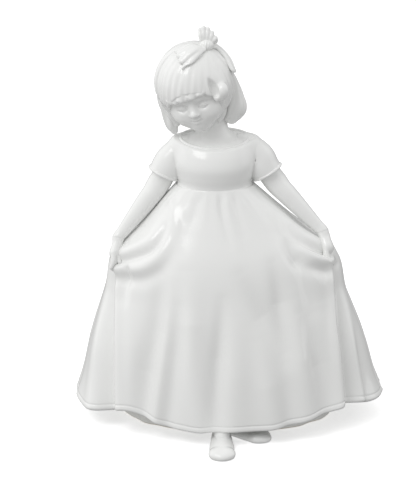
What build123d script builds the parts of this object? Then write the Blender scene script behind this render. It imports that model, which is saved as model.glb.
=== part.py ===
"""Porcelain figurine of a girl in a long dress, holding the skirt out with both hands.

The figurine is slip-cast as hollow and solid pieces, which are luted together and fired.
Each piece is one node. All sizes are in millimetres, +Z is up and -Y is the front.
The origin is on the table, at the middle of the figurine's outline.
"Right" and "left" in the names are the figure's own: its right arm is on the -X side.
"""

import math
import os

from build123d import *

os.makedirs("parts", exist_ok=True)

# ---------------------------------------------------------------- driving sizes
waist_height = 105.0  # top of the skirt casting
torso_x = -6.0  # the body stands a little to the figure's right of the skirt's middle
waist_half_width = 16.5
waist_half_depth = 13.2
cast_wall = 2.4  # wall of the hollow castings

hem_right_reach = 66.0  # skirt corners, to each side of the origin
hem_left_reach = 67.5
hem_front_reach = 34.0
hem_back_reach = 50.0
hem_clearance = 6.2  # the hem's lowest stretch, above the table
fold_count = 15
fold_depth = 1.1  # at the hem, fading to nothing at the waist

foot_half_width = 46.0  # petticoat foot, the part that stands on the table
foot_half_depth = 31.0
foot_y = 12.0
foot_step_height = 13.0  # the upright stretch of the petticoat wall
foot_flare_height = 30.0  # where the wall has met the inside of the skirt
foot_rim_width = 3.4
foot_recess = 1.0
foot_vent_radius = 3.0

bodice_height = 21.0
bust_bulge = 1.6
shoulder_half_width = 17.5
neckline_half_width = 14.2
neckline_half_depth = 10.0
neckline_slope = 13.0  # degrees, lower at the front
trim_radius = 0.65

neck_radius = 6.2
neck_vent_radius = 1.8

skull_radius = 14.9
lock_plan_radius = 14.9  # the skull radius that the locks and the bow are laid out for
chin_radius = 7.5
skull_to_chin = 15.0
head_roll = 15.0  # degrees, the crown leans to the figure's right
head_slant = 20.0  # degrees, the chin sits in front of the crown
head_wall = 3.0
hair_thickness = 2.2
fringe_thickness = 1.2
lock_radius = 3.2

sleeve_length = 14.0
sleeve_radius = 7.6
sleeve_hem_radius = 0.8
upper_arm_radius = 5.0
elbow_radius = 4.3
wrist_radius = 2.4
hand_length = 13.0
finger_radius = 1.0

shoe_length = 27.0
shoe_half_width = 5.4
shoe_clearance = 0.5  # under the hem
toe_reach = 50.0  # front of the leading shoe, from the origin
left_shoe_turn = 55.0  # degrees, toes turned out
ankle_radius = 3.4

knot_radius = 2.4
loop_length = 9.5
upright_loop_length = 7.4
loop_half_width = 4.2
ribbon_half_thickness = 1.2
tail_length = 15.0

ring_points = 30  # points on each skirt outline

loft_swell = 1.06  # how far a lofted shoe rises over its highest section
shoe_height = (hem_clearance - shoe_clearance) / loft_swell

# ---------------------------------------------------------------- shared shapes
# (share of the waist's height, share of the way out to each side, share out to front and back)
skirt_levels = (
    (1.00, 0.00, 0.00),
    (0.93, 0.14, 0.14),
    (0.84, 0.33, 0.33),
    (0.74, 0.55, 0.53),
    (0.54, 0.74, 0.74),
    (0.34, 0.85, 0.89),
    (0.16, 0.94, 0.97),
    (0.00, 1.08, 1.00),
)


def skirt_ring(share_side, share_depth, inset):
    """Points of one closed skirt outline. Folds deepen towards the hem."""
    low_x = torso_x - waist_half_width
    high_x = torso_x + waist_half_width
    low_x += (-hem_right_reach - low_x) * share_side + inset * (1 + share_side)
    high_x += (hem_left_reach - high_x) * share_side - inset * (1 + share_side)
    front = -waist_half_depth + (waist_half_depth - hem_front_reach) * share_depth + inset
    back = waist_half_depth + (hem_back_reach - waist_half_depth) * share_depth - inset
    points = []
    for i in range(ring_points):
        angle = 2 * math.pi * i / ring_points
        ripple = 1 + fold_depth * share_depth * math.cos(fold_count * angle) / hem_front_reach
        x = (low_x + high_x) / 2 + (high_x - low_x) / 2 * math.cos(angle)
        y = (front + back) / 2 + (back - front) / 2 * math.sin(angle) * ripple
        points.append((x, y))
    return points


def skirt_solid(inset):
    """The closed form of the skirt, from the table to the waist, taken in by inset."""
    over = 1.0 if inset else 0.0
    with BuildPart() as form:
        for share_height, share_side, share_depth in skirt_levels:
            height = waist_height * share_height
            height += over * (share_height == 1.0) - over * (share_height == 0.0)
            with BuildSketch(Plane.XY.offset(height)):
                with BuildLine():
                    Spline(*skirt_ring(share_side, share_depth, inset), periodic=True)
                make_face()
        loft()
    return form.part


def oval(x, y, half_width, half_depth, z):
    """Sketch of an oval level outline, centred on x, y."""
    with BuildSketch(Plane.XY.offset(z)) as sketch:
        with Locations((x, y)):
            Ellipse(half_width, half_depth)
    return sketch.sketch


def roll(points, radii, across=Vector(0, 1, 0)):
    """A tapering roll of clay: outlines lofted square to the line through the points.

    A radius is one number for a round outline, or two for an oval one, whose first
    number lies in the direction given by across.
    """
    last = len(points) - 1
    with BuildPart() as form:
        for i, (spot, radius) in enumerate(zip(points, radii)):
            heading = (points[min(i + 1, last)] - points[max(i - 1, 0)]).normalized()
            sideways = across - heading * across.dot(heading)
            with BuildSketch(Plane(origin=spot, x_dir=sideways, z_dir=heading)):
                if isinstance(radius, tuple):
                    Ellipse(*radius)
                else:
                    Circle(radius)
        loft()
    return form.part


def seated(form, seats):
    """The form cut back to its seats, so that the pieces meet face to face."""
    with BuildPart() as piece:
        add(form)
        for seat in seats:
            add(seat, mode=Mode.SUBTRACT)
    return max(piece.part.solids(), key=lambda solid: solid.volume)


def save(piece, name):
    """Labels one finished piece and writes its file."""
    piece.label = name
    export_step(piece, f"parts/{name}.step")


# ---------------------------------------------------------------- skirt casting
skirt_outer = skirt_solid(0.0)
skirt_cavity = skirt_solid(cast_wall)

# The hem in the front view: lowest at the middle, lifted towards each held corner.
hem_line = (
    (-hem_right_reach * 1.10, hem_clearance),
    (-hem_right_reach * 0.90, hem_clearance),
    (-hem_right_reach * 0.66, hem_clearance * 1.9),
    (-hem_right_reach * 0.40, hem_clearance * 1.1),
    (0.0, hem_clearance),
    (hem_left_reach * 0.44, hem_clearance * 1.35),
    (hem_left_reach * 0.80, hem_clearance * 1.95),
    (hem_left_reach * 1.10, hem_clearance * 1.7),
)
with BuildPart() as skirt_shell:
    add(skirt_outer)
    add(skirt_cavity, mode=Mode.SUBTRACT)
    with BuildSketch(Plane.XZ):
        with BuildLine():
            hem_curve = Spline(*hem_line)
            Polyline(
                hem_curve @ 1,
                (hem_left_reach * 1.1, -hem_clearance),
                (-hem_right_reach * 1.1, -hem_clearance),
                hem_curve @ 0,
            )
        make_face()
    extrude(amount=2 * hem_back_reach, both=True, mode=Mode.SUBTRACT)
save(skirt_shell.part, "skirt_shell")

# ---------------------------------------------------------------- petticoat foot
flare_half_width = (hem_right_reach + hem_left_reach) / 2 + cast_wall
flare_half_depth = (hem_front_reach + hem_back_reach) / 2
flare_y = (hem_back_reach - hem_front_reach) / 2


def foot_form(inset, base):
    """Upright wall, then a flare that runs out past the inside of the skirt."""
    with BuildPart() as form:
        add(oval(0, foot_y, foot_half_width - inset, foot_half_depth - inset, base))
        add(oval(0, foot_y, foot_half_width - inset, foot_half_depth - inset, foot_step_height))
        add(oval(0, flare_y, flare_half_width - inset, flare_half_depth - inset, foot_flare_height))
        loft(ruled=True)
    return form.part


with BuildPart() as petticoat_foot:
    add(seated(foot_form(0.0, 0.0), [skirt_shell.part]))
    add(foot_form(cast_wall, foot_recess + cast_wall), mode=Mode.SUBTRACT)
    with BuildSketch(Plane.XY):
        with Locations((0, foot_y)):
            Ellipse(foot_half_width - foot_rim_width, foot_half_depth - foot_rim_width)
    extrude(amount=foot_recess, mode=Mode.SUBTRACT)
    with Locations((0, foot_y, foot_recess)):
        Cylinder(foot_vent_radius, 3 * cast_wall, mode=Mode.SUBTRACT)
save(petticoat_foot.part, "petticoat_foot")

# ---------------------------------------------------------------- bodice
shoulder_z = waist_height + bodice_height
# (share of the bodice's height, half width, half depth)
bodice_levels = (
    (0.00, waist_half_width, waist_half_depth),
    (0.30, waist_half_width + 0.4, waist_half_depth + bust_bulge),
    (0.62, shoulder_half_width, waist_half_depth),
    (0.85, shoulder_half_width - 1.0, waist_half_depth - 1.4),
    (1.05, neckline_half_width + 0.2, neckline_half_depth + 0.4),
)


def bodice_form(inset):
    """Closed form of the bodice, taken in by inset."""
    over = 1.0 if inset else 0.0
    with BuildPart() as form:
        for share, half_width, half_depth in bodice_levels:
            z = waist_height + bodice_height * share
            z += over * (share > 1) - over * (share == 0)
            add(oval(torso_x, 0, half_width - inset, half_depth - inset, z))
        loft()
    return form.part


bodice_outer = bodice_form(0.0)
neckline = Plane(
    origin=(torso_x, 0, shoulder_z - 2.0),
    x_dir=(1, 0, 0),
    z_dir=(0, -math.sin(math.radians(neckline_slope)), math.cos(math.radians(neckline_slope))),
)
with BuildPart() as bodice:
    add(bodice_outer)
    add(bodice_form(cast_wall), mode=Mode.SUBTRACT)
    with BuildSketch(neckline):
        Rectangle(4 * shoulder_half_width, 4 * shoulder_half_width)
    extrude(amount=bodice_height, mode=Mode.SUBTRACT)
save(bodice.part, "bodice")

with BuildPart() as neckline_trim:
    with BuildLine(neckline) as trim_path:
        EllipticalCenterArc(
            (0, 0), neckline_half_width, neckline_half_depth, start_angle=0, arc_size=360
        )
    with BuildSketch(Plane(origin=trim_path.line @ 0, z_dir=trim_path.line % 0)):
        Circle(trim_radius)
    sweep()
    split(bisect_by=neckline, keep=Keep.TOP)
save(neckline_trim.part, "neckline_trim")

# ---------------------------------------------------------------- head and neck
head_up = Vector(0, 0, 1).rotate(Axis.X, -head_slant).rotate(Axis.Y, -head_roll)
head_side = Vector(1, 0, 0).rotate(Axis.Y, -head_roll)
chin_centre = Vector(torso_x - 4.8, -9.5, shoulder_z + 9.1)
skull_centre = chin_centre + head_up * skull_to_chin
head_frame = Plane(origin=skull_centre, x_dir=head_side, z_dir=head_up)


def egg_outline(grow):
    """Half of the head's outline: the skull's round, the chin's round and a flank along both."""
    with BuildSketch(Plane.XZ) as outline:
        Circle(skull_radius + grow)
        with Locations((0, -skull_to_chin)):
            Circle(chin_radius + grow)
        make_hull()
        with Locations((-2 * skull_radius, 0)):
            Rectangle(4 * skull_radius, 8 * skull_radius, mode=Mode.SUBTRACT)
    return outline.sketch


def egg(grow, hollow=None):
    """The head's egg in its own place, grown outwards by grow, less the egg inside it."""
    outline = egg_outline(grow)
    if hollow is not None:
        outline -= egg_outline(hollow)
    with BuildPart() as form:
        revolve(outline, axis=Axis.Z)
    return head_frame.location * form.part


head_egg = egg(0.0)
neck_foot = Vector(torso_x, 0, shoulder_z - 7.0)
neck_top = (skull_centre + chin_centre) * 0.5 + Vector(0, 3.0, 0)
with BuildPart() as neck_form:
    add(
        oval(
            torso_x, 0, neckline_half_width - trim_radius, neckline_half_depth - trim_radius,
            neck_foot.Z,
        )
    )
    add(oval(torso_x - 0.5, -0.2, neck_radius * 1.35, neck_radius * 1.15, shoulder_z - 1.5))
    with BuildSketch(Plane(origin=neck_top, z_dir=neck_top - neck_foot)):
        Circle(neck_radius)
    loft()
neck_vent = roll([neck_foot - Vector(0, 0, 2), neck_top, skull_centre], [neck_vent_radius] * 3)
neck = seated(neck_form.part, [bodice.part, neckline_trim.part, head_egg, neck_vent])
save(neck, "neck")

head = seated(egg(0.0, hollow=-head_wall), [neck_vent])
save(head, "head")

# ---------------------------------------------------------------- hair
# Heights here are below the skull's centre, along the head.
fringe_drop = 0.64 * skull_radius
hair_drop = 1.15 * skull_radius
face_window = head_frame.location * (
    Pos(0, -skull_radius, -fringe_drop - skull_radius)
    * Box(1.55 * skull_radius, 1.6 * skull_radius, 2 * skull_radius)
)
below_hair = head_frame.location * (
    Pos(0, 0, -hair_drop - skull_radius) * Box(4 * skull_radius, 4 * skull_radius, 2 * skull_radius)
)
hair_cap = seated(egg(hair_thickness, hollow=0.0), [face_window, below_hair, neck])
save(hair_cap, "hair_cap")

fringe_band = head_frame.location * (
    Pos(0, -skull_radius, -fringe_drop + 0.15 * skull_radius)
    * Box(1.5 * skull_radius, 1.4 * skull_radius, 0.6 * skull_radius)
)
with BuildPart() as fringe_form:
    add(egg(hair_thickness + fringe_thickness, hollow=0.0))
    add(fringe_band, mode=Mode.INTERSECT)
fringe = seated(fringe_form.part, [hair_cap])
save(fringe, "fringe")


def by_head(x, y, z):
    """A point given from the skull's centre, in the figure's upright directions."""
    return skull_centre + Vector(x, y, z) * (skull_radius / lock_plan_radius)


hair_seats = [head_egg, neck, hair_cap, fringe]
side_lock_right = seated(
    roll(
        [
            by_head(-14.0, 2, -3),
            by_head(-12.4, 3, -10),
            by_head(-9.6, 4, -17.5),
            by_head(-8.6, 5, -22),
        ],
        [lock_radius * share for share in (0.6, 1.0, 1.05, 0.5)],
    ),
    hair_seats,
)
save(side_lock_right, "side_lock_right")
side_lock_left = seated(
    roll(
        [
            by_head(14.6, 1, 4),
            by_head(16.4, 2, -5),
            by_head(17.8, 3, -11.5),
            by_head(14.8, 3, -16.0),
        ],
        [lock_radius * share for share in (0.5, 0.9, 1.3, 0.7)],
    ),
    hair_seats,
)
save(side_lock_left, "side_lock_left")
swept_lock = seated(
    roll(
        [
            by_head(6.4, -8, 14.0),
            by_head(10.2, -11, 9.0),
            by_head(12.0, -12.4, 3.6),
            by_head(12.2, -12.4, -2.2),
        ],
        [lock_radius * share for share in (0.5, 0.8, 0.75, 0.4)],
    ),
    hair_seats,
)
save(swept_lock, "swept_lock")

# ---------------------------------------------------------------- bow
knot_spot = by_head(5.2, -5.4, 16.2)
with BuildPart() as knot_form:
    with Locations(knot_spot):
        Sphere(knot_radius)
scalp_seats = [head_egg, hair_cap, fringe, swept_lock]
bow_knot = seated(knot_form.part, scalp_seats)
save(bow_knot, "bow_knot")


def ribbon(steps, widths, across, seats):
    """A flat length of ribbon through steps taken from the knot, thinnest at both ends."""
    spots = [knot_spot + Vector(*step) for step in steps]
    sizes = [
        (loop_half_width * share, ribbon_half_thickness * (0.5 + share)) for share in widths
    ]
    return seated(roll(spots, sizes, across), scalp_seats + [bow_knot] + seats)


rise = upright_loop_length
bow_loop_upright = ribbon(
    ((0, 0.3, 0), (0, 0.6, 0.35 * rise), (-0.4, 0.8, 0.75 * rise), (-0.8, 0.9, rise)),
    (0.4, 0.85, 1.0, 0.6), Vector(1, 0, 0), [],
)
save(bow_loop_upright, "bow_loop_upright")
reach = loop_length
bow_loop_side = ribbon(
    (
        (0, 0, 0),
        (-0.45 * reach, -2.8, -0.7),
        (-0.9 * reach, -5.4, -2.3),
        (-1.25 * reach, -7.0, -4.0),
    ),
    (0.35, 0.8, 1.1, 0.95), Vector(0.1, -0.8, -0.7), [bow_loop_upright],
)
save(bow_loop_side, "bow_loop_side")
drop = tail_length
bow_tail = ribbon(
    (
        (0, 0, 0),
        (0.3 * drop, 2.0, -0.04 * drop),
        (0.6 * drop, 1.0, -0.34 * drop),
        (0.7 * drop, -1.6, -0.62 * drop),
    ),
    (0.3, 0.45, 0.5, 0.45), Vector(0.6, 0, 0.8), [bow_loop_upright],
)
save(bow_tail, "bow_tail")

# ---------------------------------------------------------------- arms, sleeves and hands
# (side, name, elbow from shoulder, wrist out as a share of the hem's reach, wrist height as a
# share of the waist's, direction of the hand)
arm_plans = (
    (-1, "right", (7.0, 0.0, -15.0), 0.705, 0.776, (-0.17, -0.30, -0.94)),
    (1, "left", (8.0, 0.0, -13.0), 0.593, 0.805, (0.33, -0.30, -0.90)),
)
trunk = [bodice_outer, skirt_outer, neckline_trim.part, neck, side_lock_right, side_lock_left]
for side, name, elbow_step, wrist_out, wrist_up, hand_way in arm_plans:
    shoulder = Vector(torso_x + side * (shoulder_half_width - 1.5), 1.5, shoulder_z - 7.5)
    elbow = shoulder + Vector(side * elbow_step[0], elbow_step[1], elbow_step[2])
    reach = hem_left_reach if side > 0 else hem_right_reach
    wrist = Vector(side * reach * wrist_out, -3.0, waist_height * wrist_up)
    upper, lower = elbow - shoulder, wrist - elbow
    arm = seated(
        roll(
            [shoulder, shoulder + upper * 0.6, elbow + lower * 0.1, elbow + lower * 0.45, wrist],
            [
                upper_arm_radius,
                upper_arm_radius,
                elbow_radius * 1.05,
                elbow_radius * 0.95,
                wrist_radius,
            ],
        ),
        trunk,
    )
    save(arm, f"arm_{name}")

    down = upper.normalized()
    cuff = shoulder + down * (sleeve_length - 4.0)
    cuff_radius = 0.84 * sleeve_radius
    cuff_plane = Plane(origin=cuff, x_dir=Vector(0, 1, 0), z_dir=down)
    with BuildPart() as hem_form:
        with BuildSketch(cuff_plane):
            Circle(cuff_radius + sleeve_hem_radius)
        extrude(amount=2 * sleeve_hem_radius)
        fillet(hem_form.edges(), 0.9 * sleeve_hem_radius)
    sleeve_hem = seated(hem_form.part, trunk + [arm])
    save(sleeve_hem, f"sleeve_hem_{name}")
    sleeve = seated(
        roll(
            [
                shoulder + Vector(-side * 5.0, 0, 3.6),
                shoulder + Vector(0, 0, 1.4),
                shoulder + down * 5.0,
                cuff,
            ],
            [0.45 * sleeve_radius, 0.9 * sleeve_radius, sleeve_radius, cuff_radius],
        ),
        trunk + [arm, sleeve_hem],
    )
    save(sleeve, f"sleeve_{name}")

    way = Vector(*hand_way).normalized()
    knuckles = wrist + way * (0.45 * hand_length)
    with BuildPart() as hand_form:
        add(
            roll(
                [wrist, wrist + way * (0.2 * hand_length), knuckles],
                [
                    wrist_radius,
                    (wrist_radius, 1.15 * wrist_radius),
                    (0.7 * wrist_radius, 1.3 * wrist_radius),
                ],
            )
        )
        for finger in range(4):
            root = knuckles + Vector((finger - 1.5) * 1.5 * finger_radius, 0, finger_radius)
            tip = knuckles + way * ((0.55 - 0.04 * abs(finger - 1.5)) * hand_length)
            tip += Vector((finger - 1.5) * 1.4 * finger_radius, 0.6, 0)
            bend = (root + tip) * 0.5 + Vector(0, -0.8, 0)
            sizes = [finger_radius, finger_radius, 0.75 * finger_radius]
            add(roll([root, bend, tip], sizes, Vector(1, 0, 0)))
    hand = seated(hand_form.part, [arm, skirt_outer])
    save(hand, f"hand_{name}")

# ---------------------------------------------------------------- shoes and ankle
# (share of the length from the toe, share of the half width, share of the height)
shoe_stations = (
    (0.00, 0.42, 0.50),
    (0.10, 0.80, 0.72),
    (0.35, 1.00, 0.86),
    (0.65, 0.82, 1.00),
    (0.92, 0.70, 0.95),
    (1.00, 0.35, 0.60),
)


def shoe_form(toe, turn):
    """A flat-soled slipper with its toe at the given point, turned out by turn."""
    heading = Vector(0, 1, 0).rotate(Axis.Z, turn)
    sideways = Vector(1, 0, 0).rotate(Axis.Z, turn)
    with BuildPart() as form:
        for share, width, height in shoe_stations:
            spot = toe + heading * (shoe_length * share) + Vector(0, 0, 0.3 * height * shoe_height)
            with BuildSketch(Plane(origin=spot, x_dir=sideways, z_dir=heading)):
                Ellipse(shoe_half_width * width, 0.7 * shoe_height * height)
        loft()
        split(bisect_by=Plane.XY, keep=Keep.TOP)
    return form.part


right_toe = Vector(torso_x + 3.0, -toe_reach, 0)
left_toe = Vector(torso_x + 22.5, foot_y - foot_half_depth - 9.0, 0)
shoe_right = seated(shoe_form(right_toe, 0.0), [petticoat_foot.part])
save(shoe_right, "shoe_right")
shoe_left = seated(shoe_form(left_toe, left_shoe_turn), [petticoat_foot.part, shoe_right])
save(shoe_left, "shoe_left")

instep = right_toe + Vector(0, 0.7 * shoe_length, 0.5 * shoe_height)
ankle_right = seated(
    roll(
        [instep, instep + Vector(0, 2.0, 5.0), instep + Vector(0, 4.0, 5.0 + shoe_height)],
        [ankle_radius, ankle_radius, ankle_radius],
    ),
    [shoe_right, petticoat_foot.part, skirt_shell.part],
)
save(ankle_right, "ankle_right")
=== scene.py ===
"""Looks of a white glazed porcelain figurine: a girl holding out the skirt of a long dress.

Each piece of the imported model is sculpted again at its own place. Soft round pieces are worked up
in a block of clay, which is a grid of signed distances, and skinned. The skirt and the petticoat
are grids of points whose folds are raised one by one. Lengths are in millimetres until a mesh is
made. +Z is up and -Y is the front. "Right" and "left" in the names are the figure's own.
"""

import math
from itertools import product

import bpy
import numpy as np
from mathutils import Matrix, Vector


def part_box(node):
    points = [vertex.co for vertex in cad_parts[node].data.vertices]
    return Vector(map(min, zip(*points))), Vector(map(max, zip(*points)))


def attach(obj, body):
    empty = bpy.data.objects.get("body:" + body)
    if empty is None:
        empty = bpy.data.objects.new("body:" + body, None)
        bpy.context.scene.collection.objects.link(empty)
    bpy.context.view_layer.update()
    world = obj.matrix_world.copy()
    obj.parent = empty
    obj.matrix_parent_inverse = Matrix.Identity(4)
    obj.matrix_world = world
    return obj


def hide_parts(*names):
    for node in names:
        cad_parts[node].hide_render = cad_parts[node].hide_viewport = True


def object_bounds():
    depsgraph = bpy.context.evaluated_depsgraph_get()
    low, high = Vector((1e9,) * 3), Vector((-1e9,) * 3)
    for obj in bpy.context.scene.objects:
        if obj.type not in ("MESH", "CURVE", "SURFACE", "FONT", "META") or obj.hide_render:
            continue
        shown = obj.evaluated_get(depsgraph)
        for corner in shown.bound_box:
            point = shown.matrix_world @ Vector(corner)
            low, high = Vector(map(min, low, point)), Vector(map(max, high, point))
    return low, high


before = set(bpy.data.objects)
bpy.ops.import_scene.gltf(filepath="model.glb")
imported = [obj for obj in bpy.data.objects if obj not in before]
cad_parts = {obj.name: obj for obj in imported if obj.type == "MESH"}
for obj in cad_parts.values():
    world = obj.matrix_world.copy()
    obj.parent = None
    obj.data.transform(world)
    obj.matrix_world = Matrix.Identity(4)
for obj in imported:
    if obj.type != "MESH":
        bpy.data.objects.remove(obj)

cad_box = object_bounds()

bl_info = {
    "name": "Porcelain figurine",
    "version": (1, 0, 0),
    "blender": (4, 5, 0),
    "location": "3D View > Sidebar > Figurine",
    "description": "Sculpts and glazes the pieces of a porcelain figurine",
    "category": "Object",
}

MM = 0.001


# ---------------------------------------------------------------- places from the frame
BOXES = {name: [np.array(corner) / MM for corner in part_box(name)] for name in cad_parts}


def corners(node):
    """Lowest and highest corner of a node, in millimetres."""
    low, high = BOXES[node]
    return low.copy(), high.copy()


def spot(node, across, deep, up):
    """A point in a node's box, by shares of its width, depth and height."""
    low, high = corners(node)
    return low + (high - low) * np.array((across, deep, up))


def unit(vector):
    """The vector at length one."""
    vector = np.asarray(vector, float)
    return vector / np.linalg.norm(vector)


# ---------------------------------------------------------------- curves
def bend(at, xs, ys):
    """A smooth curve through the points xs, ys, read at the places in at."""
    xs = np.asarray(xs, float)
    ys = np.asarray(ys, float)
    slopes = np.gradient(ys, xs)
    i = np.clip(np.searchsorted(xs, at) - 1, 0, len(xs) - 2)
    width = xs[i + 1] - xs[i]
    t = (at - xs[i]) / width
    rest = 1 - t
    start = ys[i] * (1 + 2 * t) + slopes[i] * width * t
    end = ys[i + 1] * (3 - 2 * t) - slopes[i + 1] * width * rest
    return start * rest**2 + end * t**2


def smooth_line(knots, steps=5):
    """Rows along a smooth curve through the knots, each knot being a row of numbers."""
    knots = np.asarray(knots, float)
    ends = 2 * knots[0] - knots[1], 2 * knots[-1] - knots[-2]
    padded = np.vstack([ends[0], knots, ends[1]])
    t = np.linspace(0, 1, steps, endpoint=False)[:, None]
    spans = []
    for a, b, c, d in zip(padded, padded[1:], padded[2:], padded[3:]):
        linear = 2 * b + (c - a) * t
        curved = (2 * a - 5 * b + 4 * c - d) * t**2 + (3 * b - a - 3 * c + d) * t**3
        spans.append((linear + curved) / 2)
    return np.vstack(spans + [knots[-1:]])


def fade(value, low, high):
    """0 below low, 1 above high, and a smooth rise between."""
    t = np.clip((value - low) / (high - low), 0, 1)
    return t * t * (3 - 2 * t)


# ---------------------------------------------------------------- clay shapes
# A shape is its lowest corner, its highest corner and a function of the distance to its skin.
def ball(centre, radii, axes=None):
    """An oval ball. Its radii lie along the rows of axes."""
    centre = np.asarray(centre, float)
    radii = np.broadcast_to(np.asarray(radii, float), 3)
    axes = np.eye(3) if axes is None else np.asarray(axes, float)

    def distance(x, y, z):
        near = 0
        steep = 0
        for axis, radius in zip(axes, radii):
            along = (x - centre[0]) * axis[0] + (y - centre[1]) * axis[1] + (z - centre[2]) * axis[2]
            near = near + (along / radius) ** 2
            steep = steep + (along / radius**2) ** 2
        near = np.sqrt(near)
        return near * (near - 1) / (np.sqrt(steep) + 1e-6)

    return centre - radii.max(), centre + radii.max(), distance


def roll(points, radii, flat=None, thin=1.0, steps=5):
    """A smooth roll through the points, thinned to a share of its width along flat."""
    line = smooth_line(np.column_stack([points, radii]), steps)
    flat = np.array((0.0, 0.0, 1.0)) if flat is None else unit(flat)
    stretch = 1 / thin - 1
    low = line[:, :3].min(0) - line[:, 3].max()
    high = line[:, :3].max(0) + line[:, 3].max()
    path = line[:, :3] + np.outer(line[:, :3] @ flat, flat) * stretch
    width = line[:, 3]

    def distance(x, y, z):
        if stretch:
            deep = (x * flat[0] + y * flat[1] + z * flat[2]) * stretch
            x, y, z = x + flat[0] * deep, y + flat[1] * deep, z + flat[2] * deep
        best = None
        for i in range(len(path) - 1):
            start = path[i]
            step = path[i + 1] - start
            u, v, w = x - start[0], y - start[1], z - start[2]
            t = (u * step[0] + v * step[1] + w * step[2]) / (step @ step + 1e-9)
            t = np.clip(t, 0, 1)
            gap = (u - t * step[0]) ** 2 + (v - t * step[1]) ** 2 + (w - t * step[2]) ** 2
            gap = np.sqrt(gap) - (width[i] + (width[i + 1] - width[i]) * t)
            best = gap if best is None else np.minimum(best, gap)
        return best * thin

    return low, high, distance


def melt(a, b, soft):
    """The nearer of two distances, with the corner between them rounded."""
    if soft == 0:
        return np.minimum(a, b)
    near = np.maximum(soft - np.abs(a - b), 0) / soft
    return np.minimum(a, b) - near * near * soft / 4


class Clay:
    """A block of clay, held as the distance to its skin at each point of an even grid."""

    REACH = 2.5  # distances are kept up to this far from a shape

    def __init__(self, low, high, grain):
        self.grain = grain
        self.low = np.asarray(low, float)
        count = np.ceil((np.asarray(high, float) - self.low) / grain).astype(int) + 1
        self.field = np.full(count, self.REACH, np.float32)

    def _grid(self, first, last):
        axes = []
        for i in range(3):
            line = self.low[i] + self.grain * np.arange(first[i], last[i])
            axes.append(line.astype(np.float32))
        return axes[0][:, None, None], axes[1][None, :, None], axes[2][None, None, :]

    def _near(self, shape):
        low, high, distance = shape
        first = np.floor((low - self.REACH - self.low) / self.grain).astype(int)
        last = np.ceil((high + self.REACH - self.low) / self.grain).astype(int) + 1
        first = np.clip(first, 0, self.field.shape)
        last = np.clip(last, 0, self.field.shape)
        window = tuple(slice(a, b) for a, b in zip(first, last))
        return window, distance(*self._grid(first, last)).astype(np.float32)

    def add(self, shape, soft=0.6):
        """Presses a shape on, with a fillet of about soft along the join."""
        window, distance = self._near(shape)
        self.field[window] = melt(self.field[window], distance, soft)
        return self

    def cut(self, shape, soft=0.4):
        """Carves a shape away."""
        window, distance = self._near(shape)
        self.field[window] = -melt(-self.field[window], distance, soft)
        return self

    def slice_off(self, point, normal, soft=0.0):
        """Removes all that lies past the point in the direction of the normal."""
        x, y, z = self._grid((0, 0, 0), self.field.shape)
        normal = unit(normal)
        past = (x - point[0]) * normal[0] + (y - point[1]) * normal[1] + (z - point[2]) * normal[2]
        self.field = -melt(-self.field, -past.astype(np.float32), soft)
        return self

    def copy(self):
        """A second block with the same clay."""
        twin = Clay(self.low, self.low, self.grain)
        twin.field = self.field.copy()
        return twin

    def _read(self, at):
        """Distances at points given in grid steps, blended from the eight around each."""
        base = np.clip(np.floor(at).astype(int), 0, np.array(self.field.shape) - 2)
        part = at - base
        total = 0
        for dx, dy, dz in product((0, 1), repeat=3):
            share = np.abs(1 - dx - part[:, 0]) * np.abs(1 - dy - part[:, 1])
            share = share * np.abs(1 - dz - part[:, 2])
            total = total + share * self.field[base[:, 0] + dx, base[:, 1] + dy, base[:, 2] + dz]
        return total

    def skin(self, rounds=2):
        """Points and four-sided faces of the clay's skin."""
        field = self.field
        field[0], field[-1] = self.REACH, self.REACH
        field[:, 0], field[:, -1] = self.REACH, self.REACH
        field[:, :, 0], field[:, :, -1] = self.REACH, self.REACH
        inside = field < 0
        held = np.zeros(np.array(field.shape) - 1, np.int8)
        wide, deep, tall = held.shape
        for dx, dy, dz in product((0, 1), repeat=3):
            held += inside[dx : dx + wide, dy : dy + deep, dz : dz + tall]
        cells = np.argwhere((held > 0) & (held < 8))
        if len(cells) == 0:
            raise RuntimeError("a piece of clay came out empty")
        number = np.full(held.shape, -1, np.int64)
        number[tuple(cells.T)] = np.arange(len(cells))
        total = np.zeros((len(cells), 3))
        hits = np.zeros(len(cells))
        faces = []
        for axis in range(3):
            one, two = (axis + 1) % 3, (axis + 2) % 3
            step, step_one, step_two = np.eye(3, dtype=int)[[axis, one, two]]
            for side_one, side_two in product((0, 1), repeat=2):
                corner = step_one * side_one + step_two * side_two
                a = field[tuple((cells + corner).T)]
                b = field[tuple((cells + corner + step).T)]
                crossed = (a < 0) != (b < 0)
                t = np.where(crossed, a / np.where(crossed, a - b, 1), 0)
                total += (corner + step * t[:, None]) * crossed[:, None]
                hits += crossed
            here = np.moveaxis(inside, axis, 0)
            starts = np.argwhere(here[:-1] != here[1:])
            place = np.empty_like(starts)
            place[:, axis] = starts[:, 0]
            others = [i for i in range(3) if i != axis]
            place[:, others[0]] = starts[:, 1]
            place[:, others[1]] = starts[:, 2]
            ring = (place, place - step_one, place - step_one - step_two, place - step_two)
            quads = np.stack([number[tuple(corner.T)] for corner in ring], 1)
            outward = inside[tuple(place.T)]
            faces.append(np.where(outward[:, None], quads, quads[:, ::-1]))
        points = cells + total / hits[:, None]
        faces = np.vstack(faces)
        for _ in range(rounds):
            points = self._settle(relax(points, faces))
        return self.low + points * self.grain, faces

    def _settle(self, points):
        """Moves points, given in grid steps, straight back on to the skin."""
        half = 0.5
        slope = np.empty_like(points)
        for axis in range(3):
            step = np.eye(3)[axis] * half
            slope[:, axis] = self._read(points + step) - self._read(points - step)
        depth = self._read(points)
        size = (slope**2).sum(1) + 1e-4
        move = np.clip(depth / size, -1, 1)
        return points - slope * move[:, None] * 0.9


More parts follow.
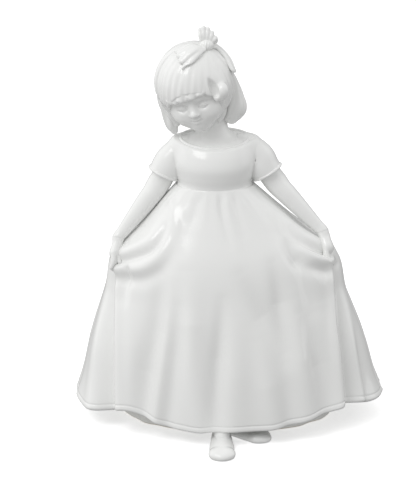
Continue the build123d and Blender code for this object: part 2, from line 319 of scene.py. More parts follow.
def block(node_name, grain, below=3, above=3):
    """A block of clay round a node's box, with the given room below and above its corners."""
    low, high = corners(node_name)
    return Clay(low - below, high + above, grain)


def relax(points, faces, share=0.6):
    """Moves each point part of the way to the middle of its neighbours."""
    ends = np.vstack([faces[:, [i, (i + 1) % 4]] for i in range(4)])
    heads = np.concatenate([ends[:, 0], ends[:, 1]])
    tails = np.concatenate([ends[:, 1], ends[:, 0]])
    count = np.bincount(heads, minlength=len(points))
    middle = np.empty_like(points)
    for axis in range(3):
        middle[:, axis] = np.bincount(heads, points[tails, axis], len(points)) / count
    return points + (middle - points) * share


# ---------------------------------------------------------------- meshes
def piece_from(name, points, faces, material, *nodes):
    """Makes a smooth mesh object that rides on the figurine and stands for the nodes."""
    mesh = bpy.data.meshes.new(name)
    mesh.vertices.add(len(points))
    mesh.vertices.foreach_set("co", (np.asarray(points) * MM).astype(np.float32).ravel())
    mesh.loops.add(faces.size)
    mesh.loops.foreach_set("vertex_index", faces.astype(np.int32).ravel())
    mesh.polygons.add(len(faces))
    mesh.polygons.foreach_set("loop_start", np.arange(0, faces.size, faces.shape[1], dtype=np.int32))
    mesh.update(calc_edges=True)
    mesh.validate()
    mesh.shade_smooth()
    mesh.materials.append(material)
    piece = bpy.data.objects.new(name, mesh)
    bpy.context.scene.collection.objects.link(piece)
    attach(piece, "root")
    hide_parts(*nodes)
    return piece


def grid_faces(rows, columns):
    """Faces of a grid that closes on itself round its columns."""
    row, column = np.meshgrid(np.arange(rows - 1), np.arange(columns), indexing="ij")
    beside = (column + 1) % columns
    here = row * columns
    return np.stack(
        [here + column, here + beside, here + columns + beside, here + columns + column], -1
    ).reshape(-1, 4)


def hoop(centre, across, along, radius_across, radius_along, tube, columns=160, rows=14):
    """Points and faces of a round band on an oval path in the plane of across and along."""
    turn = 2 * math.pi * np.arange(columns) / columns
    path = centre + np.outer(np.cos(turn) * radius_across, across)
    path = path + np.outer(np.sin(turn) * radius_along, along)
    outward = np.outer(np.cos(turn) / radius_across, across)
    outward = outward + np.outer(np.sin(turn) / radius_along, along)
    outward /= np.linalg.norm(outward, axis=1)[:, None]
    upright = np.cross(across, along)
    points = []
    for i in range(rows):
        angle = 2 * math.pi * i / rows
        points.append(path + tube * (outward * math.cos(angle) + upright * math.sin(angle)))
    rings = np.array(points)
    faces = grid_faces(rows, columns)
    seam = faces[:columns] + (rows - 1) * columns
    seam[:, 2:] -= rows * columns
    return rings.reshape(-1, 3), np.vstack([faces, seam])


# ---------------------------------------------------------------- sizes and colours
class FigurineSizes(bpy.types.PropertyGroup):
    """Sizes of the sculpted detail."""

    grain: bpy.props.FloatProperty(
        name="Clay grain", description="Grid step of the sculpted pieces, in millimetres",
        default=0.42, min=0.2, max=1.0,
    )
    fold_rise: bpy.props.FloatProperty(
        name="Fold rise", description="How strongly the folds of the skirt stand out", default=1.15,
        min=0, max=2,
    )
    skirt_wall: bpy.props.FloatProperty(
        name="Skirt wall", description="Thickness of the skirt's wall, in millimetres", default=2.2,
        min=1.5, max=3,
    )
    strand_rise: bpy.props.FloatProperty(
        name="Strand rise", description="How far hair strands stand out, in millimetres",
        default=0.42, min=0, max=1,
    )
    columns: bpy.props.IntProperty(
        name="Skirt columns", description="Points round the skirt", default=500, min=60, max=900
    )


class FigurineFinish(bpy.types.PropertyGroup):
    """Colours and gloss of the fired surfaces, as sRGB hex values."""

    glaze_hex: bpy.props.StringProperty(
        name="Glaze", description="Colour of the glazed body", default="F3F3EF"
    )
    # Crease colour: partly the greener tint of pooled glaze, partly painted shade, being darker than the
    # glaze.
    pooled_glaze_and_painted_shade_hex: bpy.props.StringProperty(
        name="Pooled glaze", description="Colour where glaze gathers in creases", default="D9DDD8"
    )
    biscuit_hex: bpy.props.StringProperty(
        name="Foot rim", description="Colour of the unglazed foot rim", default="E6E0D4"
    )
    glaze_roughness: bpy.props.FloatProperty(
        name="Glaze roughness", description="Roughness of the glaze", default=0.16, min=0, max=1,
        subtype="FACTOR",
    )


class FigurineStage(bpy.types.PropertyGroup):
    """Camera and lights."""

    camera_distance: bpy.props.FloatProperty(
        name="Camera distance", description="From the camera to the middle of the figurine",
        default=0.9, unit="LENGTH",
    )
    camera_height: bpy.props.FloatProperty(
        name="Camera height", description="Angle of the camera above the level",
        default=math.radians(17), subtype="ANGLE",
    )
    floor_hex: bpy.props.StringProperty(
        name="Floor", description="Colour of the floor", default="FFFFFF"
    )
    paper_glow: bpy.props.FloatProperty(
        name="Floor glow", description="Light that the white floor gives off", default=0.50, min=0
    )
    lens: bpy.props.FloatProperty(
        name="Lens", description="Focal length of the camera, in millimetres", default=153.6, min=20
    )


# ---------------------------------------------------------------- materials
def linear(hex_colour):
    """sRGB hex to a linear colour with alpha."""
    values = []
    for i in (0, 2, 4):
        value = int(hex_colour[i : i + 2], 16) / 255
        values.append(value / 12.92 if value <= 0.04045 else ((value + 0.055) / 1.055) ** 2.4)
    return (*values, 1.0)


def node(tree, kind, inputs=None, **settings):
    """Adds a shader node, sets it and feeds it. An input is a value or another node's socket."""
    made = tree.nodes.new(kind)
    for key, value in settings.items():
        setattr(made, key, value)
    for key, value in (inputs or {}).items():
        if isinstance(value, bpy.types.NodeSocket):
            tree.links.new(value, made.inputs[key])
        else:
            made.inputs[key].default_value = value
    return made


def blank_material(name):
    """An empty material and its node tree."""
    material = bpy.data.materials.new(name)
    material.use_nodes = True
    material.node_tree.nodes.clear()
    return material, material.node_tree


def glazed_porcelain():
    """Hard-paste porcelain, slip-cast, dipped in clear glaze and fired glossy.

    The body is a slightly cool white. The glaze gives a soft mirror gloss that is a little uneven,
    like still water. In creases it is drawn a shade greener, as pooled glaze, and darker, as
    painted shade.
    """
    known = bpy.data.materials.get("glazed_porcelain")
    if known:
        return known
    finish = bpy.context.scene.figurine_finish
    material, tree = blank_material("glazed_porcelain")
    place = node(tree, "ShaderNodeTexCoord").outputs["Object"]
    ripple_spacing = 7.0 * MM  # slow unevenness of the glaze
    pit_spacing = 0.9 * MM  # fine orange peel, drawn coarser than it is so that it shows
    ripple = node(
        tree, "ShaderNodeTexNoise", {"Vector": place, "Scale": 1 / ripple_spacing, "Detail": 2.0}
    )
    pits = node(tree, "ShaderNodeTexNoise", {"Vector": place, "Scale": 1 / pit_spacing, "Detail": 1.0})
    # Creases (low pointiness) take the darker grey-green colour: partly the tint of pooled glaze, partly
    # painted shade.
    hollow = node(tree, "ShaderNodeNewGeometry").outputs["Pointiness"]
    pooling_and_painted_shade = node(
        tree, "ShaderNodeMapRange",
        {"Value": hollow, "From Min": 0.40, "From Max": 0.49, "To Min": 1.0, "To Max": 0.0},
    )
    colour = node(
        tree, "ShaderNodeMix",
        {"Factor": pooling_and_painted_shade.outputs["Result"], "A": linear(finish.glaze_hex), "B": linear(finish.pooled_glaze_and_painted_shade_hex)},
        data_type="RGBA",
    )
    gloss = node(
        tree, "ShaderNodeMapRange",
        {
            "Value": ripple.outputs["Fac"], "From Min": 0.3, "From Max": 0.7,
            "To Min": finish.glaze_roughness * 0.8, "To Max": finish.glaze_roughness * 1.35,
        },
    )
    slow = node(
        tree, "ShaderNodeBump",
        {"Height": ripple.outputs["Fac"], "Distance": 0.25 * MM, "Strength": 0.35},
    )
    fine = node(
        tree, "ShaderNodeBump",
        {
            "Height": pits.outputs["Fac"], "Distance": 0.02 * MM, "Strength": 0.3,
            "Normal": slow.outputs["Normal"],
        },
    )
    shader = node(
        tree, "ShaderNodeBsdfPrincipled",
        {
            "Base Color": colour.outputs[2], "Roughness": gloss.outputs["Result"], "IOR": 1.52,
            "Normal": fine.outputs["Normal"], "Subsurface Weight": 0.12,
            "Subsurface Radius": (1.0, 0.95, 0.85), "Subsurface Scale": 1.2 * MM,
            "Coat Weight": 0.5, "Coat Roughness": 0.05,
        },
    )
    node(tree, "ShaderNodeOutputMaterial", {"Surface": shader.outputs["BSDF"]})
    return material


def biscuit_porcelain():
    """The glazed body with an unglazed, wiped foot rim.

    The rim shows the fired paste itself: matt, chalky and a little warmer than the glaze.
    """
    known = bpy.data.materials.get("porcelain_with_bare_rim")
    if known:
        return known
    finish = bpy.context.scene.figurine_finish
    material, tree = blank_material("porcelain_with_bare_rim")
    place = node(tree, "ShaderNodeTexCoord").outputs["Object"]
    height = node(tree, "ShaderNodeSeparateXYZ", {"Vector": place}).outputs["Z"]
    paste_grain = 0.35 * MM
    chalk = node(tree, "ShaderNodeTexNoise", {"Vector": place, "Scale": 1 / paste_grain, "Detail": 3.0})
    wiped_to = 0.7 * MM
    bare = node(
        tree, "ShaderNodeMapRange",
        {"Value": height, "From Min": wiped_to * 0.8, "From Max": wiped_to, "To Min": 1.0, "To Max": 0.0},
    ).outputs["Result"]
    colour = node(
        tree, "ShaderNodeMix",
        {"Factor": bare, "A": linear(finish.glaze_hex), "B": linear(finish.biscuit_hex)},
        data_type="RGBA",
    )
    gloss = node(
        tree, "ShaderNodeMapRange",
        {"Value": bare, "To Min": finish.glaze_roughness, "To Max": 0.75},
    )
    bump = node(
        tree, "ShaderNodeBump",
        {"Height": chalk.outputs["Fac"], "Distance": 0.03 * MM, "Strength": 0.25},
    )
    shader = node(
        tree, "ShaderNodeBsdfPrincipled",
        {
            "Base Color": colour.outputs[2], "Roughness": gloss.outputs["Result"], "IOR": 1.52,
            "Normal": bump.outputs["Normal"],
        },
    )
    node(tree, "ShaderNodeOutputMaterial", {"Surface": shader.outputs["BSDF"]})
    return material


# ---------------------------------------------------------------- skirt
# (share of the waist's height, share of the way out to each side, share out to front and back)
SKIRT_LEVELS = (
    (0.00, 1.08, 1.00), (0.16, 0.94, 0.97), (0.34, 0.84, 0.89), (0.54, 0.70, 0.74),
    (0.74, 0.57, 0.53), (0.84, 0.33, 0.33), (0.93, 0.14, 0.14), (1.00, 0.00, 0.00),
)
# (share of the reach to either side, height of the hem) along the front
HEM_FRONT = (
    (-1.0, 8.6), (-0.9, 7.8), (-0.82, 9.2), (-0.66, 12.2), (-0.5, 8.9), (-0.4, 6.9), (-0.28, 6.3),
    (0.0, 6.5), (0.23, 6.8), (0.44, 8.8), (0.64, 11.1), (0.81, 12.9), (0.93, 10.6), (1.0, 9.5),
)
HEM_BACK = ((-1.0, 8.6), (-0.7, 8.5), (-0.3, 6.2), (0.1, 7.0), (0.5, 6.2), (0.8, 9.5), (1.0, 9.5))

# Folds on the front, in millimetres: points (x, z), widths along the fold, rises along the fold.
FRONT_FOLDS = (
    # swags drawn up to the figure's right hand
    (
        ((-46.0, 75.8), (-39.2, 79.6), (-32.9, 83.6), (-28.9, 88.5), (-26.8, 93.5)),
        (1.4, 2.2), (1.4, 1.2, 0.2),
    ),
    (
        ((-46.0, 72.8), (-38.6, 76.6), (-31.8, 80.4), (-27.6, 86.0), (-25.4, 91.5)),
        (0.9, 1.2), (-1.2, -1.2, -0.2),
    ),
    (((-46.5, 70.2), (-34.9, 73.6), (-26.6, 81.6), (-21.4, 97.0)), (1.8, 2.6), (1.2, 1.1, 0.3)),
    (((-45.5, 65.5), (-34.0, 68.8), (-25.0, 78.0), (-19.6, 92.0)), (2.0, 2.6), (-0.9, -0.7, -0.2)),
    (((-24.0, 99.0), (-22.0, 92.0), (-21.5, 84.0)), (1.2, 2.0), (0.5, 0.4, 0.1)),
    # swags drawn up to the left hand
    (((41.6, 78.8), (29.6, 84.6), (23.3, 90.1), (17.0, 97.0)), (1.5, 2.3), (1.8, 1.5, 0.3)),
    (((41.0, 76.0), (31.6, 81.0), (26.1, 85.4), (21.0, 91.0)), (0.9, 1.2), (-1.7, -1.5, -0.2)),
    (((42.0, 73.2), (34.5, 76.8), (27.3, 81.6), (21.1, 89.6)), (1.6, 2.4), (1.8, 1.4, 0.3)),
    (((41.0, 69.4), (34.0, 72.8), (26.5, 78.4), (20.0, 87.0)), (1.8, 2.4), (-1.2, -0.9, -0.2)),
    (((23.0, 86.0), (26.2, 80.5), (31.5, 71.8), (35.5, 56.0)), (1.9, 3.4), (-0.4, -2.1, -0.5)),
    (((28.0, 84.0), (32.5, 74.5), (39.0, 58.0)), (2.0, 3.2), (0.3, 1.2, 0.3)),
    # the front panel's two folded edges, under the hands
    (((-46.6, 70.0), (-46.4, 50.0), (-46.4, 30.0), (-46.0, 0.0)), (1.4, 2.0, 2.6), (1.0, 1.9, 2.2)),
    (((-49.4, 70.0), (-50.2, 50.0), (-50.8, 30.0), (-51.4, 0.0)), (1.3, 2.1, 2.8), (-1.4, -3.2, -4.2)),
    (((-51.0, 64.0), (-52.6, 40.0), (-53.4, 0.0)), (1.4, 2.4), (-0.4, -1.6, -2.2)),
    (((42.6, 70.0), (43.8, 47.0), (45.6, 34.0), (48.8, 0.0)), (1.3, 1.8, 2.4), (0.9, 1.7, 2.0)),
    (((45.2, 70.0), (47.6, 47.0), (50.0, 30.0), (53.6, 0.0)), (1.2, 1.9, 2.6), (-1.3, -3.0, -3.6)),
    # long soft folds of the front panel
    (((-43.0, 62.0), (-41.5, 40.0), (-41.0, 2.0)), (3.0, 4.2), (0.3, 1.4, 1.7)),
    (((-28.0, 70.0), (-30.5, 48.0), (-34.0, 30.0), (-37.0, 4.0)), (3.0, 3.8), (-0.4, -1.9, -2.4, -1.6)),
    (((-23.5, 70.0), (-26.5, 44.0), (-32.0, 2.0)), (2.6, 3.0), (0.3, 1.2, 1.3)),
    (((-20.5, 58.0), (-22.8, 38.0), (-27.5, 2.0)), (2.8, 3.4), (-0.3, -1.5, -1.7)),
    (((-17.0, 74.0), (-15.8, 52.0), (-14.8, 30.0), (-10.5, 2.0)), (4.0, 4.8), (0.2, 2.2, 2.0, 1.8)),
    (((-3.0, 62.0), (-4.6, 38.0), (-7.6, 0.0)), (2.2, 3.2), (-0.3, -1.9, -0.7)),
    (((3.0, 56.0), (2.4, 30.0), (1.0, 4.0)), (3.8, 5.0), (0.2, 1.1, 1.0)),
    (((5.0, 72.0), (13.6, 55.0), (21.5, 40.0)), (2.6, 3.2), (-0.3, -1.6, -0.5)),
    (((18.0, 76.0), (21.0, 60.0), (24.0, 36.0)), (2.2, 3.2), (-0.4, -1.8, -0.5)),
    (((12.0, 46.0), (16.0, 26.0), (20.0, 4.0)), (3.0, 4.0), (0.2, 1.5, 1.2)),
    (((27.0, 62.0), (30.5, 36.0), (33.0, 4.0)), (3.2, 4.4), (0.2, 1.4, 1.2)),
    (((30.0, 54.0), (37.0, 32.0), (42.0, 6.0)), (2.8, 3.6), (-0.4, -2.0, -1.3)),
    (((22.5, 34.0), (26.0, 4.0)), (2.6, 3.4), (-0.2, -1.2)),
    (((-42.6, 71.0), (-43.6, 63.0), (-44.0, 54.0)), (1.2, 1.8), (-1.5, -1.2, -0.1)),
    # gathers let out from the seam under the bodice
    (((-4.2, 104.0), (-3.0, 96.0), (0.3, 84.0)), (0.8, 1.3), (-0.5, -0.5, -0.1)),
    (((-1.4, 104.0), (0.0, 96.0), (3.6, 84.0)), (1.0, 1.6), (0.4, 0.4, 0.1)),
    (((1.6, 104.0), (3.4, 97.0), (6.7, 88.0)), (0.8, 1.2), (-0.4, -0.4, -0.1)),
    (((-12.0, 104.0), (-14.6, 95.0), (-18.6, 80.0)), (1.0, 1.8), (-0.4, -0.4, -0.1)),
    # side panels, outside the hands
    (((-52.0, 60.0), (-55.5, 42.0), (-59.0, 4.0)), (1.6, 2.8), (0.3, 1.1, 1.3)),
    (((49.6, 60.0), (52.8, 38.0), (57.6, 8.0)), (1.4, 2.0), (0.3, 1.1, 1.3)),
    (((50.8, 50.0), (55.0, 34.0), (60.2, 8.0)), (1.2, 1.8), (-0.2, -1.0, -1.3)),
)


def skirt_waist():
    """Middle x, half width and half depth of the waist."""
    low, high = corners("bodice")
    waist_share = 0.93  # the seam is drawn in a little from the widest part of the bodice
    depth_share = 0.885
    return (low[0] + high[0]) / 2, (high[0] - low[0]) / 2 * waist_share, high[1] * depth_share


def skirt_surface(angle, height):
    """Points of the unfolded skirt at angles round it and heights above the table."""
    corner_right, corner_left = 1.5, 2.9  # how far the pulled-out corners pass the node's box
    back_allowance = 1.0  # room for the folds that stand out at the back
    low, high = corners("skirt_shell")
    middle, half_width, half_depth = skirt_waist()
    table = np.array(SKIRT_LEVELS)
    side = bend(height / high[2], table[:, 0], table[:, 1])
    depth = bend(height / high[2], table[:, 0], table[:, 2])
    low_x = middle - half_width + (low[0] - corner_right - middle + half_width) * side
    high_x = middle + half_width + (high[0] + corner_left - middle - half_width) * side
    front = -half_depth + (low[1] + half_depth) * depth
    back = half_depth + (high[1] - back_allowance - half_depth) * depth
    x = (low_x + high_x) / 2 + (high_x - low_x) / 2 * np.cos(angle)
    y = (front + back) / 2 + (back - front) / 2 * np.sin(angle)
    return np.stack([x, y, height], -1)


def along_fold(x, z, points, widths, rises):
    """Height that one fold gives to points x, z of the surface seen from its side."""
    line = smooth_line(points, 6)
    ends = np.linspace(0, 1, len(line))
    near = np.full(x.shape, 1e9)
    place = np.zeros(x.shape)
    for i in range(len(line) - 1):
        step = line[i + 1] - line[i]
        t = ((x - line[i, 0]) * step[0] + (z - line[i, 1]) * step[1]) / (step @ step)
        t = np.clip(t, 0, 1)
        gap = np.hypot(x - line[i, 0] - t * step[0], z - line[i, 1] - t * step[1])
        closer = gap < near
        near = np.where(closer, gap, near)
        place = np.where(closer, ends[i] + t * (ends[i + 1] - ends[i]), place)
    width = np.interp(place, np.linspace(0, 1, len(widths)), widths)
    rise = np.interp(place, np.linspace(0, 1, len(rises)), rises)
    return rise * np.exp(-((near / width) ** 2) / 1.6)


def skirt_folds(angle, surface):
    """How far each point of the skirt stands out from the unfolded surface."""
    x, z = surface[..., 0], surface[..., 2]
    top = corners("skirt_shell")[1][2]
    front = fade(-np.sin(angle), 0.08, 0.38)
    rise = np.zeros(x.shape)
    for points, widths, rises in FRONT_FOLDS:
        rise += along_fold(x, z, points, widths, rises) * front
    # Round the sides and back the folds fall from the waist, unevenly wide and deep.
    away = fade(np.sin(angle), -0.12, 0.12)
    down = 1 - z / top
    swing = angle + 0.10 * np.sin(3 * angle + 0.6) + 0.05 * np.sin(7 * angle)
    soft = np.cos(17 * swing) + 0.45 * np.cos(31 * swing + 1.0)
    rise += away * soft * 0.85 * fade(down, 0.05, 0.75)
    # Small gathers all round the waist seam.
    gather = np.cos(29 * angle + 1.4 * np.sin(3 * angle) + 0.8 * np.sin(7 * angle))
    rise += gather * 0.11 * np.exp(-down / 0.06)
    below_seam = fade(down, 0.0, 0.05)
    return rise * below_seam * bpy.context.scene.figurine_sizes.fold_rise


def make_skirt(material):
    """The skirt: folded outside, hollow inside, with a rounded hem and a fine line above it."""
    sizes = bpy.context.scene.figurine_sizes
    wall = sizes.skirt_wall
    columns = sizes.columns
    body_rows, hem_rows, inner_rows, rim_rows = 146, 26, 18, 7
    down = np.concatenate(
        [np.linspace(0, 0.955, body_rows, endpoint=False), np.linspace(0.955, 1, hem_rows)]
    )
    angle = 2 * math.pi * np.arange(columns) / columns
    share = np.cos(angle)
    front = np.array(HEM_FRONT)
    back = np.array(HEM_BACK)
    facing = fade(-np.sin(angle), -0.15, 0.15)
    hem = bend(share, front[:, 0], front[:, 1]) * facing
    hem += bend(share, back[:, 0], back[:, 1]) * (1 - facing)
    hem += wall / 2
    top = corners("skirt_shell")[1][2]

    def sheet(rows):
        """Folded points and outward directions, one row for each share of the way down."""
        height = top - np.outer(rows, top - hem)
        round_it = np.broadcast_to(angle, height.shape)
        flat = skirt_surface(round_it, height)
        across = np.roll(flat, -1, 1) - np.roll(flat, 1, 1)
        downward = np.gradient(flat, axis=0)
        outward = np.cross(downward, across)
        outward /= np.linalg.norm(outward, axis=-1)[..., None]
        rise = skirt_folds(round_it, flat)
        above_hem = height - hem
        line_height, line_depth, line_width = 1.5, 0.22, 0.4
        rise = rise - line_depth * np.exp(-(((above_hem - line_height) / line_width) ** 2))
        return flat, outward, rise

    flat, outward, rise = sheet(down)
    outside = flat + outward * rise[..., None]
    edge_out = outward[-1]
    edge = outside[-1] - edge_out * wall / 2
    turn = np.linspace(0, math.pi, rim_rows)[1:-1, None, None]
    rim = edge + edge_out * np.cos(turn) * wall / 2 - np.array((0, 0, 1.0)) * np.sin(turn) * wall / 2
    flat, outward, rise = sheet(np.linspace(0, 1, inner_rows))
    inside = (flat + outward * (rise[..., None] - wall))[::-1]
    rings = np.concatenate([outside, rim, inside, outside[:1]])
    rows = len(rings) - 1
    faces = grid_faces(rows + 1, columns)
    faces[faces >= rows * columns] -= rows * columns
    return piece_from("skirt", rings[:-1].reshape(-1, 3), faces[:, ::-1], material, "skirt_shell")


def make_petticoat(material):
    """The foot that the figurine stands on: a soft pleated wall, a wiped rim and a vent hole."""
    top = corners("petticoat_foot")[1][2]
    middle_y = 12.0
    half_width, half_depth = 46.0, 31.0
    rim, recess, vent, vent_depth = 3.4, 1.0, 3.0, 4.0
    columns = 300
    angle = 2 * math.pi * np.arange(columns) / columns
    pleats = np.cos(13 * angle + 0.8 * np.sin(2 * angle)) + 0.4 * np.cos(23 * angle)
    # (growth outwards, height, share of the pleats)
    wall = [(4.0, top - 3.0, 0.3), (3.0, 22.0, 0.6), (1.0, 16.0, 0.9), (0.0, 11.0, 1.0)]
    wall += [(0.0, 5.0, 1.0), (-0.1, 2.0, 0.8), (-0.35, 0.7, 0.6), (-1.0, 0.0, 0.5)]
    wall = smooth_line(wall, 6)
    rings = []

    def ring(width, depth, height, pleat):
        ripple = pleats * 0.8 * pleat
        x = np.cos(angle) * (width + ripple)
        y = middle_y * (width > vent) + np.sin(angle) * (depth + ripple)
        rings.append(np.stack([x, y, np.full(columns, height)], -1))

    crown = wall[0]
    for share in (0.02, 0.5, 0.96):
        ring((half_width + crown[0]) * share, (half_depth + crown[0]) * share, crown[1], 0)
    for grow, height, pleat in wall:
        ring(half_width + grow, half_depth + grow, max(height, 0.0), pleat)
    ring(half_width - rim, half_depth - rim, 0.0, 0.2)
    ring(half_width - rim - 0.6, half_depth - rim - 0.6, recess, 0.1)
    for share in (0.7, 0.4, 0.15):
        ring(half_width * share, half_depth * share, recess, 0)
    rings = np.array(rings)
    hole = []
    for radius, height in ((vent, recess), (vent, vent_depth), (0.1, vent_depth)):
        hole.append(np.stack([np.cos(angle) * radius, middle_y + np.sin(angle) * radius,
                              np.full(columns, height)], -1))
    rings = np.concatenate([rings, np.array(hole)])
    faces = grid_faces(len(rings), columns)
    return piece_from(
        "petticoat", rings.reshape(-1, 3), faces[:, ::-1], material, "petticoat_foot"
    )


# ---------------------------------------------------------------- bodice, neckline and neck
def oval_stack(levels, low_z, high_z):
    """An upright form whose oval outline changes with height."""
    table = np.array(levels, float)
    reach = table[:, 3:].max()

    def distance(x, y, z):
        level = np.clip(z, low_z, high_z)
        middle_x, middle_y, width, depth = (bend(level, table[:, 0], table[:, i]) for i in range(1, 5))
        u, v = x - middle_x, y - middle_y
        near = np.sqrt((u / width) ** 2 + (v / depth) ** 2)
        steep = np.sqrt((u / width**2) ** 2 + (v / depth**2) ** 2) + 1e-6
        side = near * (near - 1) / steep
        return np.maximum(side, np.maximum(low_z - z, z - high_z))

    middle = table[:, 1:3].mean(0)
    low = np.array((middle[0] - reach, middle[1] - reach, low_z))
    high = np.array((middle[0] + reach, middle[1] + reach, high_z))
    return low, high, distance


def neckline_plane():
    """Middle, crosswise direction and front-to-back direction of the neckline."""
    low, high = corners("neckline_trim")
    slope = math.radians(13)
    middle = (low + high) / 2 + np.array((0, 0, -0.3))
    return middle, np.array((1.0, 0, 0)), np.array((0, math.cos(slope), math.sin(slope)))


def neckline_height(x, y):
    """Height of the neckline over the point x, y: lower in front, higher over the shoulders."""
    middle, _, along = neckline_plane()
    half = corners("neckline_trim")[1][0] - middle[0]
    saddle = 0.6  # how much higher it runs over each shoulder than at the middle
    return middle[2] + (y - middle[1]) * along[2] / along[1] + saddle * ((x - middle[0]) / half) ** 2


def above_neckline():
    """All the space over the neckline, as a shape to carve away."""
    low, high = corners("bodice")

    def distance(x, y, z):
        return neckline_height(x, y) - z

    return low - 6, high + 6, distance


def bodice_clay(grain):
    """The bodice: full over the chest, tucked in at the seam, open at the neck."""
    low, high = corners("bodice")
    x = (low[0] + high[0]) / 2
    half = (high[0] - low[0]) / 2
    deep = high[1]
    levels = (
        (low[2] - 1.5, x, 0, half * 0.945, deep * 0.885),
        (low[2] + 0.8, x, 0, half * 0.885, deep * 0.90),
        (low[2] + 4.0, x, 0, half * 0.92, deep * 0.955),
        (low[2] + 8.5, x, 0, half * 0.98, deep * 1.0),
        (low[2] + 13.0, x, 0.3, half * 0.98, deep * 0.94),
        (low[2] + 17.5, x, 0.6, half * 0.93, deep * 0.80),
        (low[2] + 21.0, x, 0.6, half * 0.80, deep * 0.71),
        (low[2] + 24.0, x, 0.6, half * 0.62, deep * 0.62),
    )
    clay = Clay(low - 4, high + 4, grain)
    clay.add(oval_stack(levels, low[2] - 1.2, low[2] + 23.0), 0)
    for side, name in ((-1, "right"), (1, "left")):
        shoulder = ArmPlan(name).shoulder
        inner = np.array((x + side * 10.5, 0.6, low[2] + 16.6))
        crest = (inner + shoulder) / 2 + (0, 0, 1.5)
        yoke = roll([inner, crest, shoulder + (side * -0.5, 0, 0)], (4.6, 5.0, 5.2))
        clay.add(yoke, 3.0)
    # soft tension folds from the arms towards the middle of the chest
    for side, name in ((-1, "right"), (1, "left")):
        pit = spot(f"arm_{name}", 0.5 - side * 0.36, 0.0, 0.72)
        for lift, fall in ((0.0, -4.0), (3.0, 0.5)):
            start = pit + np.array((-side * 0.5, -4.5, lift))
            end = start + np.array((-side * 7.0, -4.5, fall))
            clay.cut(roll([start, (start + end) / 2 + (0, -1.4, 0.2), end], (0.7, 0.6, 0.3)), 1.0)
    clay.cut(above_neckline(), 0.5)
    return clay


def neck_clay(grain):
    """Neck, throat and the top of the chest inside the neckline."""
    low, high = corners("neck")
    x = (low[0] + high[0]) / 2
    skull = skull_centre()
    trim_low, trim_high = corners("neckline_trim")
    middle = (trim_low + trim_high) / 2
    reach = (trim_high - trim_low) / 2
    step_down, swell, inside_trim = 0.5, 3.0, 0.97

    def throat(x, y, z):
        """Skin that lies just under the trim and swells towards the neck."""
        out = np.sqrt(((x - middle[0]) / reach[0]) ** 2 + ((y - middle[1]) / reach[1]) ** 2)
        top = neckline_height(x, y) - step_down + swell * np.clip(1 - out, 0, 1)
        return np.maximum(np.maximum(z - top, (out - inside_trim) * reach[1]), low[2] - z)

    clay = Clay(low - 4, high + 4, grain)
    clay.add((low - 1, high, throat), 0)
    top = skull + np.array((2.4, 1.0, -9.5))
    clay.add(
        roll(
            [(x - 0.3, 1.2, low[2] + 2), (x - 0.8, 0.8, low[2] + 8), (x - 1.6, 0.4, low[2] + 13), top],
            (8.6, 6.6, 6.2, 6.2),
        ),
        3.0,
    )
    clay.slice_off((0, 0, low[2] + 0.4), (0, 0, -1))
    return clay


# ---------------------------------------------------------------- head
SKULL_RADIUS = 14.9
HAIR_INSIDE = 14.3  # radius that the fringe and the locks are hollowed to, just under the skin


def skull_centre():
    """Middle of the skull, from the round top of the hair."""
    low, high = corners("hair_cap")
    radius = (high[0] - low[0]) / 2
    return np.array(((low[0] + high[0]) / 2, high[1] - radius, high[2] - radius))


def head_axes():
    """Rows: the head's own right (towards +X), up and forward directions."""
    nod, turn, lean = (math.radians(a) for a in (15, 8, 15))
    forward = -np.array((math.sin(turn) * math.cos(nod), math.cos(turn) * math.cos(nod), math.sin(nod)))
    up = unit(np.array((0, 0, 1.0)) - forward * -math.sin(nod))
    right = np.cross(up, forward)
    up, right = (
        up * math.cos(lean) - right * math.sin(lean),
        right * math.cos(lean) + up * math.sin(lean),
    )
    return np.array((right, up, forward))


def on_head(x, y, z):
    """A point given by the head's own right, up and forward directions."""
    return skull_centre() + np.array((x, y, z)) @ head_axes()


def beside_head(x, y, z):
    """A point given from the skull's centre in the figurine's upright directions."""
    return skull_centre() + np.array((x, y, z))


